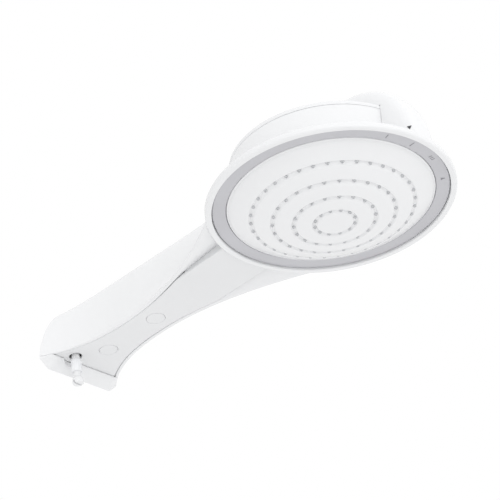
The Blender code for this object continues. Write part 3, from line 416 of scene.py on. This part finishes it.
# levels where the flare is sectioned, close together over its rounded edge
LOW_LEVELS = (
    0.0, 0.08, 0.25, 0.45, 0.7, 1.1, 1.5, 1.75, 1.95, 2.15, 2.35, 2.6, 2.9, 3.3, 3.9, 4.7, 5.8, 7.2,
    9.0, 11.2, 13.8, 16.6, 19.0,
)


def rim_half(x):
    """Half width of the arm's edge in the plane of its underside."""
    if x < WAIST_X:
        return WAIST_HALF + (WALL_HALF - WAIST_HALF) * ((WAIST_X - x) / WAIST_X) ** 2.6
    reach = (x - WAIST_X) / (RIM_JOIN_X - WAIST_X)
    return WAIST_HALF + (RIM_JOIN_HALF - WAIST_HALF) * reach**1.85


def beam_half(x):
    return rim_half(x) if x < WAIST_X else smooth_between(x, CORE_HALF, 1)


def soft_ramp(value, softness):
    """0 below zero and the value itself above, with a rounded knee between."""
    if value <= -softness:
        return 0.0
    if value >= softness:
        return value
    return (value + softness) ** 2 / (4 * softness)


def flare_share(level):
    """How much of the flare's reach is left at a height over the underside."""
    rise = soft_ramp(level - RIM_T, 0.5) / (FLARE_TOP - RIM_T)
    return max(1.0 - rise, 0.0) ** FLARE_POWER


def nose(x, inset, power):
    """How much of the spine's height or width is left where it is rounded off towards its far end."""
    reach = max((x - CROWN_X) / (SPINE_END_X - CROWN_X - inset), 0.0)
    return max(1.0 - reach**power, 0.0) ** (1.0 / power)


def bezier(controls, t):
    weights = ((1 - t) ** 3, 3 * t * (1 - t) ** 2, 3 * t * t * (1 - t), t**3)
    return tuple(sum(w * c[i] for w, c in zip(weights, controls)) for i in (0, 1))


def section_side(x, inset, steps=24):
    """One side of a cross-section, from the rim to the middle of the crown: (half width, height)."""
    half = (beam_half(x) - inset) * nose(x, inset, NOSE_POWER)
    height = (smooth_between(x, CROWN, 1) - inset) * nose(x, inset, END_POWER)
    reach = rim_half(x) - beam_half(x) if WAIST_X < x <= WING_END_X else 0.0
    lean, rise, crown = (smooth_between(x, SIDE_FORM, column) for column in (1, 2, 3))
    controls = ((half, 0.0), (half * lean, height * rise), (half * crown, height), (0.0, height))
    cover = RIM_T if inset else 0.0
    turns = []
    scale = min(height / 40.0, 1.0)
    for level in LOW_LEVELS:
        low, high = 0.0, 1.0
        for _ in range(24):
            middle = (low + high) / 2
            if bezier(controls, middle)[1] < level * scale:
                low = middle
            else:
                high = middle
        turns.append(low)
    turns += [turns[-1] + (1.0 - turns[-1]) * step / steps for step in range(1, steps + 1)]
    side = []
    for t in turns:
        width, level = bezier(controls, t)
        edge = EDGE_R - math.sqrt(max(EDGE_R**2 - (EDGE_R - min(level, EDGE_R)) ** 2, 0.0))
        width += reach * flare_share(level + cover) + (edge if inset else -edge)
        side.append((width, level))
    return side


def section(x, inset, floor, steps=24):
    side = section_side(x, inset, steps)
    half = side[0][0]
    loop = side + [(-y, z) for y, z in reversed(side[:-1])]
    if floor < 0.0:
        loop = [(half, floor)] + loop + [(-half, floor)]
    return [(x, y, z) for y, z in loop]


def side_height(x, y, inset):
    """Height of the outer or inner face over a point of the underside."""
    side = section_side(x, inset)
    for (outer, low), (inner, high) in zip(side, side[1:]):
        if inner <= abs(y) <= outer:
            return low + (high - low) * (outer - abs(y)) / max(outer - inner, 1e-6)
    return 0.0


def half_at(x, level, inset):
    """Half width of the section at a height over the underside."""
    side = section_side(x, inset)
    for (outer, low), (inner, high) in zip(side, side[1:]):
        if low <= level <= high:
            return outer + (inner - outer) * (level - low) / max(high - low, 1e-6)
    return 0.0


def inner_half(x, level):
    return half_at(x, level, SHELL_T)


def arm_stations(inset, first, pitch):
    count = round(CROWN_X / pitch)
    places = [first] + [CROWN_X * step / count for step in range(1, count + 1)]
    end = SPINE_END_X - CROWN_X - inset
    for step in range(1, 33):
        places.append(CROWN_X + end * math.sin(0.985 * math.pi / 2 * step / 32) ** (2.0 / END_POWER))
    return places


def skirt_height(radius):
    """Height of the head's bead and concave flare at a radius."""
    bead = RIM_R - BEAD_W
    if radius >= bead:
        return RIM_T + (BEAD_TOP - RIM_T) * math.sqrt(max(1.0 - ((radius - bead) / BEAD_W) ** 2, 0.0))
    share = min((bead - radius) / (bead - DRUM_R), 1.0)
    return BEAD_TOP + (FLARE_TOP - BEAD_TOP) * share**FLARE_POWER


def head_skirt():
    """Round rim of the head, with the bead and the concave flare behind it."""
    inner, edge = DRUM_R - 8.0, RIM_R - RIM_EDGE
    profile = [(inner, RIM_LOW), (edge, RIM_LOW)]
    for step in range(1, 9):
        angle = math.pi / 2 * step / 8
        out, up = RIM_EDGE * math.sin(angle), RIM_EDGE * (1.0 - math.cos(angle))
        profile.append((edge + out, RIM_LOW + up))
    profile.append((RIM_R, RIM_T - 0.6))
    for step in range(0, 9):
        radius = RIM_R - BEAD_W * (1.0 - math.cos(math.pi / 2 * step / 8))
        profile.append((radius, skirt_height(radius)))
    bead = RIM_R - BEAD_W
    for step in range(1, 25):
        radius = bead + (DRUM_R - bead) * step / 24
        profile.append((radius, skirt_height(radius)))
    profile.append((inner, FLARE_TOP))
    return turned("head_skirt", profile, WHITE, (HEAD_X, 0.0), ROUND_STEPS)


def head_space():
    """What the shell leaves free: the turning ring, and the round housing with its foot."""
    foot_r, foot_top = DRUM_R + 3.0 + GAP, BODY_LOW.z + HOUSING_T + GAP
    under, lip = -8.0, SEAT_R + SEAT_EDGE
    profile = [(0.0, under), (lip, under), (lip, RIM_LOW - 0.01)]
    for step in range(0, 6):
        angle = math.pi / 2 * step / 5
        radius = SEAT_R + SEAT_EDGE * (1.0 - math.sin(angle))
        profile.append((radius, RIM_LOW + SEAT_EDGE * (1.0 - math.cos(angle))))
    profile += [
        (SEAT_R, SEAT_Z), (foot_r, SEAT_Z), (foot_r, foot_top), (DRUM_R + GAP, foot_top),
        (DRUM_R + GAP, DRUM_TOP + GAP), (0.0, DRUM_TOP + GAP),
    ]
    return turned("head_space", profile, WHITE, (HEAD_X, 0.0), ROUND_STEPS)


def blend_wing_into_skirt(obj):
    """Rounds the inside corner where the arm's flare meets the head's flare."""
    for vertex in obj.data.vertices:
        x, y, z = vertex.co / MM
        radius = math.hypot(x - HEAD_X, y)
        on_wing = RIM_JOIN_X - 60.0 < x < WING_END_X and z > RIM_T
        if not on_wing or not DRUM_R - 1.0 < radius < RIM_R + 14.0:
            continue
        side_room = min((abs(y) - beam_half(x)) / 6.0, 1.0)
        if side_room <= 0.0:
            continue
        wing = side_height(x, y, 0.0)
        skirt = skirt_height(min(radius, RIM_R)) - max(radius - RIM_R, 0.0) * 1.2
        if z < max(wing, skirt) - 0.8:
            continue
        near = max(SOFTNESS - abs(wing - skirt), 0.0)
        vertex.co.z += MM * side_room * near**2 / (4 * SOFTNESS)


def arm_shell():
    outside = [section(x, 0.0, 0.0) for x in arm_stations(0.0, 0.0, 2.5)]
    shell = loft("arm_shell", outside, WHITE)
    fuse(shell, head_skirt())
    blend_wing_into_skirt(shell)
    inside = [section(x, SHELL_T, -2.0, 10) for x in arm_stations(SHELL_T, -4.0, 5.0)]
    hollow = loft("arm_hollow", inside, WHITE)
    skirt = [
        (DRUM_R - 3.0, -9.0), (RIM_R - 0.4, -9.0), (RIM_R - 0.4, 8.0), (DRUM_R + 6.0, 12.0),
        (DRUM_R - 3.0, 17.0),
    ]
    cut(hollow, turned("skirt_left_whole", skirt, WHITE, (HEAD_X, 0.0), ROUND_STEPS))
    cut(shell, hollow)
    cut(shell, head_space())
    return shell


# ---- round housing -----------------------------------------------------------------------------
def drum_wall():
    low, top, foot_r = BODY_LOW.z, BODY_HIGH.z, BODY_HIGH.y
    inner, step = DRUM_R - HOUSING_T, BODY_LOW.z + HOUSING_T
    profile = rounded([
        (FLOOR_HOLE_R, low), (foot_r, low), (foot_r, step), (DRUM_R, step, 0.05), (DRUM_R, top),
        (inner, top), (inner, step, 0.05), (FLOOR_HOLE_R, step),
    ], 0.45)
    return turned("drum_wall", profile, WHITE, (HEAD_X, 0.0), ROUND_STEPS)


def drum_cap():
    low, top = BODY_HIGH.z + GAP, LID_HIGH.z
    lip, under = DRUM_R - HOUSING_T - GAP, LID_HIGH.z - LID_STEP_T
    profile = rounded([
        (LID_HOLE_R, low), (lip - 2.0, low), (lip - 2.0, LID_LOW.z), (lip, LID_LOW.z),
        (lip, low, 0.05), (DRUM_R, low), (DRUM_R, top, 1.8), (LID_STEP_R, top, 0.5),
        (LID_STEP_R, under), (LID_HOLE_R, under),
    ], 0.4)
    return turned("drum_cap", profile, WHITE, (HEAD_X, 0.0), ROUND_STEPS)


# ---- spray face --------------------------------------------------------------------------------
def dome(radius):
    """Level of the spray face at a radius, without its grooves."""
    return -DOME_DROP * (1.0 - (radius / FACE_R) ** DOME_POWER)


def groove(radius):
    """Depth of the rounded groove that each ring of nozzles sits in."""
    depth = 0.0
    for middle, _ in NOZZLE_RINGS:
        off = abs(radius - middle) / GROOVE_HALF
        if off < 1.0:
            depth = GROOVE_DEPTH * (0.5 + 0.5 * math.cos(math.pi * off)) ** 0.7
    return depth


def spray_face():
    reach, edge = FACE_R - 0.05, 1.2
    outer, radius = [], 0.0
    while radius < reach - edge:
        outer.append((radius, dome(radius) + groove(radius)))
        radius += 0.46 if groove(radius + 0.3) or groove(radius + 0.9) else 1.6
    for step in range(7):
        angle = math.pi / 2 * step / 6
        level = dome(reach) + 1.0 - edge * math.cos(angle)
        outer.append((reach - edge + edge * math.sin(angle), level))
    inner = [(reach, PLATE_HIGH.z), (reach - 3.0, PLATE_HIGH.z)]
    for radius in (82.0, 75.0, 68.0, 58.0, 48.0, 37.0, 26.0, 13.0, 0.0):
        inner.append((radius, dome(radius) + GROOVE_DEPTH + PLATE_T))
    return turned("spray_face", outer + inner, WHITE, (HEAD_X, 0.0), ROUND_STEPS)


def nozzle_places():
    for radius, count in NOZZLE_RINGS:
        for index in range(count):
            yield radius, 360.0 * index / count


def nozzle_nubs():
    """The soft nubs, each with its collar, rounded tip and outlet, standing square to the dome."""
    shape = rounded([
        (0.0, 1.2), (0.42, 1.2, 0.05), (0.42, -1.75, 0.15), (1.15, -1.75, 0.45), (1.45, -0.2, 0.3),
        (2.0, -0.05, 0.1), (2.0, 1.4), (0.0, 1.4),
    ], 0.1, 3)
    whole = bmesh.new()
    pattern = turned_mesh(shape, 14)
    pattern_mesh = bpy.data.meshes.new("nub_pattern")
    pattern.to_mesh(pattern_mesh)
    pattern.free()
    for radius, degrees in nozzle_places():
        x, y = polar(radius, degrees)
        slope = (dome(radius + 0.5) - dome(radius - 0.5)) * 0.6
        tilt = Matrix.Rotation(-math.atan(slope), 4, "Y")
        tilt = Matrix.Rotation(math.radians(degrees), 4, "Z") @ tilt
        place = Matrix.Translation((x, y, dome(radius) + GROOVE_DEPTH)) @ tilt
        before = len(whole.verts)
        whole.from_mesh(pattern_mesh)
        whole.verts.ensure_lookup_table()
        bmesh.ops.transform(whole, matrix=place, verts=whole.verts[before:])
    bpy.data.meshes.remove(pattern_mesh)
    return add_object("nozzle_nubs", whole, NUB, 40.0)


# ---- selector ring -----------------------------------------------------------------------------
def ring_trim():
    inner = FACE_R + GAP
    profile = rounded([
        (inner, 0.55), (inner + 0.6, 0.15), (RING_R - 0.6, 0.0), (RING_R, 0.5), (RING_R, RING_H),
        (inner, RING_H),
    ], 0.35, 3)
    return turned("ring_trim", profile, SILVER, (HEAD_X, 0.0), ROUND_STEPS)


def flat_mark(bm, outline, thickness, place):
    base = bm.faces.new([bm.verts.new((x, y, 0.0)) for x, y in outline])
    raised = bmesh.ops.extrude_face_region(bm, geom=[base])
    moved = [item for item in raised["geom"] if isinstance(item, bmesh.types.BMVert)]
    bmesh.ops.translate(bm, verts=moved, vec=(0.0, 0.0, thickness))
    bmesh.ops.transform(bm, matrix=place, verts=list(base.verts) + moved)


def ring_marks():
    """Four plain raised marks on the ring: one stroke, a longer stroke, three short strokes and a
    wedge, coloured dark grey as painted shade of their relief.
    """
    bm = bmesh.new()
    middle = RING_R - 5.6
    for degrees, strokes in MARK_STROKES.items():
        x, y = polar(middle, degrees)
        turn = Matrix.Rotation(math.radians(degrees), 4, "Z")
        place = Matrix.Translation((x, y, -MARK_PROUD)) @ turn
        for offset, length, width in strokes:
            half, low, high = length / 2, offset - width / 2, offset + width / 2
            flat_mark(bm, ((-half, low), (half, low), (half, high), (-half, high)), MARK_T, place)
        if not strokes:
            flat_mark(bm, MARK_WEDGE, MARK_T, place)
    return add_object("ring_marks", bm, MARK)


def pointer_mark():
    """Dark triangle at the foot of the spine's nose, which the ring's marks are read against."""
    half, nearer = (half_at(x, POINTER_Z, 0.0) for x in (POINTER_X, POINTER_X - 1.0))
    normal = Vector((nearer - half, -1.0, 0.0)).normalized()
    across = Vector((0.0, 0.0, 1.0)).cross(normal)
    middle = Vector((POINTER_X, -half, POINTER_Z)) + normal * MARK_PROUD
    bm = bmesh.new()
    corners = []
    for side, level in ((0.0, -1.7), (1.9, 1.6), (-1.9, 1.6)):
        corners.append(middle + across * side + Vector((0.0, 0.0, level)))
    top = [bm.verts.new(corner + normal * 0.15) for corner in corners]
    low = [bm.verts.new(corner - normal * 0.3) for corner in corners]
    bm.faces.new(top)
    bm.faces.new(low[::-1])
    for i in range(3):
        j = (i + 1) % 3
        bm.faces.new((top[i], low[i], low[j], top[j]))
    return add_object("pointer_mark", bm, DARK)


# ---- underside ---------------------------------------------------------------------------------
def pocket_start():
    x = WAIST_X
    while inner_half(x, PANEL_T) - PANEL_GAP < PANEL_HALF:
        x += 0.5
    return x


def panel_outline(level, inset, first, last):
    side = []
    steps = 90
    for step in range(steps + 1):
        x = first + inset + (last - first - inset) * step / steps
        limit = PANEL_HALF if x > WAIST_X else WALL_HALF
        side.append((x, min(inner_half(x, level) - PANEL_GAP, limit) - inset))
    rim = RIM_R + GAP + inset
    half_angle = math.asin((PANEL_HALF - inset) / rim)
    arc = []
    for step in range(25):
        angle = math.pi - half_angle + 2 * half_angle * step / 24
        arc.append((HEAD_X + rim * math.cos(angle), rim * math.sin(angle)))
    outline = side + arc + [(px, -py) for px, py in reversed(side)]
    return [(px, py, level) for px, py in outline]


def pocket_wall(sign, first, last):
    """Side of a pocket, from the panel's edge up to the shell's inner face."""
    outer, inner, low, steps = PANEL_HALF - 0.25, PANEL_HALF - 2.75, 0.8, 30
    loops = []
    for step in range(steps + 1):
        x = first + (last - first) * step / steps
        top = max(side_height(x, PANEL_HALF, SHELL_T) + 0.6, 1.5)
        across = ((inner, low), (outer, low), (outer, top), (inner, top))
        loops.append([(x, sign * half, level) for half, level in across])
    return loft("pocket_wall", loops, PANEL_WHITE)


def under_panel():
    first, last = PANEL_LOW.x, pocket_start()
    stack = ((0.25, 1.5), (0.33, 0.9), (0.55, 0.42), (0.9, 0.12), (1.4, 0.0), (PANEL_T, 0.0))
    loops = [panel_outline(level, inset, first, last) for level, inset in stack]
    panel = loft("under_panel", loops, PANEL_WHITE, 40.0)
    for low, high in PLUGS:
        x = (low.x + high.x) / 2
        seat = (high.x - low.x) / 2 + 0.22
        shape = [
            (0.0, -2.0), (seat + 1.2, -2.0), (seat + 0.35, 0.15), (seat, 0.55), (seat, 1.9), (0.0, 1.9),
        ]
        cut(panel, turned("plug_seat", shape, PANEL_WHITE, (x, 0.0), 96), 40.0)
    hole = rod(SPINDLE_HOLE_R, -3.0, 6.0)
    cut(panel, turned("spindle_hole", hole, PANEL_WHITE, (STUB_X, STUB_Y), 64), 40.0)
    rim_x = HEAD_X - math.sqrt(RIM_R**2 - PANEL_HALF**2) - GAP
    for sign in (-1, 1):
        fuse(panel, pocket_wall(sign, last + 4.0, rim_x), 40.0)
    return panel


def plug_cap(number, low, high):
    x, radius = (low.x + high.x) / 2, (high.x - low.x) / 2
    face, top = 0.12, 1.5
    profile = rounded([
        (0.0, face), (radius - 1.0, face), (radius, face, 0.5), (radius, top), (0.0, top),
    ], 0.3, 5)
    return turned(f"plug_cap_{number}", profile, PANEL_WHITE, (x, 0.0), 96)


# ---- wall end ----------------------------------------------------------------------------------
def foot_outline(x, drop, half, steps=48):
    points = []
    for step in range(steps + 1):
        share = -1.0 + 2.0 * step / steps
        corner = max(abs(share) - 0.8, 0.0) / 0.2
        points.append((x, half * share, -GAP - drop * (1.0 - 0.8 * corner)))
    return [(x, half, -GAP)] + points[::-1] + [(x, -half, -GAP)]


def back_foot():
    """Back plate that fills the arm's open end, with the flared foot below the arm's underside."""
    inner = SHELL_T + GAP
    foot = loft("back_foot", [section(x, inner, -4.0) for x in (0.0, 1.0, 3.0, 4.0)], WHITE)
    fan = []
    for step in range(17):
        share = step / 16
        x = FOOT_DEPTH * share
        rounding = 1.0 - 0.12 * max(1.0 - share / 0.08, 0.0)
        drop = (FOOT_DROP - GAP - 1.2) * (1.0 - share) ** 0.8 * rounding + 0.4
        fan.append(foot_outline(x, min(drop, FOOT_DROP - GAP), rim_half(x) - 0.2))
    fuse(foot, loft("foot_flare", fan, WHITE))
    socket_hole, grommet_hole = rod(SOCKET_HOLE_R, -2.0, 8.0), rod(GROMMET_R, -2.0, 8.0)
    cut(foot, turned("socket_hole", socket_hole, WHITE, (0.0,), 96, "X", PIPE_Z))
    cut(foot, turned("grommet_hole", grommet_hole, WHITE, (GROMMET_Y,), 64, "X", GROMMET_Z))
    notch = rod(SPINDLE_HOLE_R + 4.6, -30.0, 5.0)
    cut(foot, turned("spindle_notch", notch, WHITE, (STUB_X, STUB_Y), 96))
    return foot


def spindle():
    """Stem, groove and flared, slotted end that an extension rod clips on to."""
    end = SPINDLE_LOW.z
    neck_top = SLEEVE_LOW.z - GAP
    profile = rounded([
        (0.0, end), (4.6, end, 0.5), (5.1, end + 0.6, 0.4), (5.0, end + 4.8, 1.2),
        (NECK_R, end + 7.3, 0.9), (NECK_R, neck_top, 0.3), (STEM_R, neck_top, 0.2),
        (STEM_R, 5.0), (SHAFT_R, 5.0),
        (SHAFT_R, SPINDLE_HIGH.z), (0.0, SPINDLE_HIGH.z),
    ], 0.3, 6)
    piece = turned("spindle", profile, WHITE, (STUB_X, STUB_Y), 64)
    slot = bmesh.new()
    size = Matrix.Diagonal((*ROD_SLOT, 1.0))
    bmesh.ops.create_cube(slot, size=1.0, matrix=Matrix.Translation((STUB_X, STUB_Y, end)) @ size)
    cut(piece, add_object("rod_slot", slot, WHITE))
    return piece


def sleeve():
    inner, outer = STEM_R + 0.15, (SLEEVE_HIGH.x - SLEEVE_LOW.x) / 2
    profile = rounded(tube(outer, inner, SLEEVE_LOW.z, SLEEVE_HIGH.z), 0.35, 5)
    return turned("sleeve", profile, CLEAR, (STUB_X, STUB_Y), 64)


def socket():
    """Half-inch inlet with the ridges of its thread."""
    bore, spigot, way = 9.4, 4.6, 3.2
    body, flange, edge = 14.0, 17.0, 15.0
    seat, collar, end, tail, depth = 4.3, 7.0, 26.0, 39.0, 20.0
    profile = [
        (edge, 0.0, 0.6), (edge, seat, 0.1), (flange, seat, 0.3), (flange, collar, 0.3),
        (body, collar, 0.3), (body, end, 1.0), (spigot, end, 0.5), (spigot, tail, 0.3),
        (way, tail, 0.3), (way, depth), (bore + 0.5, depth),
    ]
    threads = []
    pitch, ridge = 1.81, 0.75
    for turn in range(6):
        low = 11.0 - pitch * turn
        threads += [(bore + ridge, low, 0.1), (bore, low - pitch / 2, 0.1)]
    profile += threads + [(bore + 1.4, 0.0, 0.2)]
    return turned("socket", rounded(profile, 0.3, 3), INNER, (0.0,), 96, "X", PIPE_Z)


# ---- assembly ----------------------------------------------------------------------------------
def place(piece, body, slot, *nodes):
    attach(piece, body)
    if nodes:
        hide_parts(*nodes)


def build_pieces():
    place(arm_shell(), "housing", "white_gloss", "upper_shell")
    place(drum_wall(), "housing", "white_gloss", "head_body")
    place(drum_cap(), "housing", "white_gloss", "drum_lid")
    place(under_panel(), "housing", "panel_white", "bottom_panel")
    for number, (low, high) in enumerate(PLUGS, start=1):
        place(plug_cap(number, low, high), "housing", "panel_white", f"screw_plug_{number}")
    place(back_foot(), "housing", "white_gloss", "wall_foot")
    place(socket(), "housing", "inner_plastic", "inlet_socket")
    place(pointer_mark(), "housing", "dark_plastic", "pointer")
    place(spray_face(), "spray_head", "white_gloss", "spray_plate")
    place(nozzle_nubs(), "spray_head", "nozzle_rubber", "nozzle_mat")
    place(ring_trim(), "spray_head", "satin_silver", "selector_ring")
    place(ring_marks(), "spray_head", "dark_plastic")
    place(spindle(), "spindle", "white_gloss", "control_spindle")
    place(sleeve(), "spindle", "clear_sleeve", "rod_sleeve")


NODE_FINISH = {
    "white_gloss": WHITE,
    "panel_white": PANEL_WHITE,
    "satin_silver": SILVER,
    "clear_sleeve": CLEAR,
    "nozzle_rubber": NUB,
    "black_rubber": BLACK,
    "dark_plastic": DARK,
    "inner_plastic": INNER,
    "steel": STEEL,
    "brass": BRASS,
    "resistance_wire": WIRE,
    "circuit_board": BOARD,
}


def finish_nodes():
    """Gives every CAD node the procedural material of its slot."""
    slots = {part["node"]: part["material_slot"] for part in frame["record"]["subparts"]}
    for name, obj in frame["nodes"].items():
        obj.data.materials.clear()
        obj.data.materials.append(NODE_FINISH[slots[name]])


# ---- stage, light and camera -------------------------------------------------------------------
FLOOR_Z = -3000.0
FLOOR_SIZE = 60000.0
SKY_LEVEL = 0.95
SKY_LEAN = (0.20, -0.04, 0.16)     # how much brighter the room is towards +X, +Y and +Z
VIEW_RIGHT = (0.6958, 0.7072, -0.1255)
VIEW_BACK = (0.5466, -0.6347, -0.5463)
VIEW_DISTANCE = 1.885
VIEW_SHIFT = (0.0677, 0.0403)      # how far the head's centre lies right of and above the aim
LENS = 163.2


def stage():
    bm = bmesh.new()
    level = Matrix.Translation((0.0, 0.0, FLOOR_Z))
    bmesh.ops.create_grid(bm, x_segments=1, y_segments=1, size=FLOOR_SIZE, matrix=level)
    pale = bpy.data.materials.new("pale_floor")
    pale.use_nodes = True
    shader = pale.node_tree.nodes["Principled BSDF"]
    shader.inputs["Base Color"].default_value = (0.93, 0.93, 0.93, 1.0)
    shader.inputs["Roughness"].default_value = 0.9
    floor = add_object("floor", bm, pale)


def area_light(name, target, direction, distance, size, power, colour=(1.0, 1.0, 1.0)):
    data = bpy.data.lights.new(name, "AREA")
    data.shape = "DISK"
    data.size = size
    data.energy = power
    data.color = colour
    light = bpy.data.objects.new(name, data)
    away = Vector(direction).normalized()
    light.location = Vector(target) + away * distance
    light.rotation_euler = away.to_track_quat("Z", "Y").to_euler()
    bpy.context.scene.collection.objects.link(light)


def lighting():
    world = bpy.data.worlds.new("soft_white_room")
    world.use_nodes = True
    nodes, links = world.node_tree.nodes, world.node_tree.links
    soft = nodes["Background"]
    soft.inputs["Color"].default_value = (1.0, 1.0, 1.0, 1.0)
    towards = nodes.new("ShaderNodeTexCoord")
    lean = nodes.new("ShaderNodeVectorMath")
    lean.operation = "DOT_PRODUCT"
    lean.inputs[1].default_value = SKY_LEAN
    level = nodes.new("ShaderNodeMath")
    level.operation = "ADD"
    level.inputs[1].default_value = SKY_LEVEL
    links.new(towards.outputs["Generated"], lean.inputs[0])
    links.new(lean.outputs["Value"], level.inputs[0])
    links.new(level.outputs[0], soft.inputs["Strength"])
    white = nodes.new("ShaderNodeBackground")
    white.inputs["Color"].default_value = (1.0, 1.0, 1.0, 1.0)
    path = nodes.new("ShaderNodeLightPath")
    either = nodes.new("ShaderNodeMixShader")
    links.new(path.outputs["Is Camera Ray"], either.inputs[0])
    links.new(soft.outputs[0], either.inputs[1])
    links.new(white.outputs[0], either.inputs[2])
    links.new(either.outputs[0], nodes["World Output"].inputs["Surface"])
    bpy.context.scene.world = world
    centre = (HEAD_X * 0.7 * MM, 0.0, 0.0)
    area_light("key", centre, (1.0, -0.35, -0.1), 2.2, 1.4, 4.0)


def camera():
    right = Vector(VIEW_RIGHT).normalized()
    back = Vector(VIEW_BACK).normalized()
    up = back.cross(right).normalized()
    right = up.cross(back)
    data = bpy.data.cameras.new("photo_view")
    data.sensor_width = 36.0
    data.lens = LENS
    obj = bpy.data.objects.new("photo_view", data)
    aim = Vector((HEAD_X * MM, 0.0, 0.0)) - VIEW_SHIFT[0] * right - VIEW_SHIFT[1] * up
    turn = Matrix((right, up, back)).transposed().to_4x4()
    obj.matrix_world = Matrix.Translation(aim + VIEW_DISTANCE * back) @ turn
    bpy.context.scene.collection.objects.link(obj)
    bpy.context.scene.camera = obj


finish_nodes()
build_pieces()
stage()
lighting()
camera()
bpy.context.scene.view_settings.view_transform = "Standard"
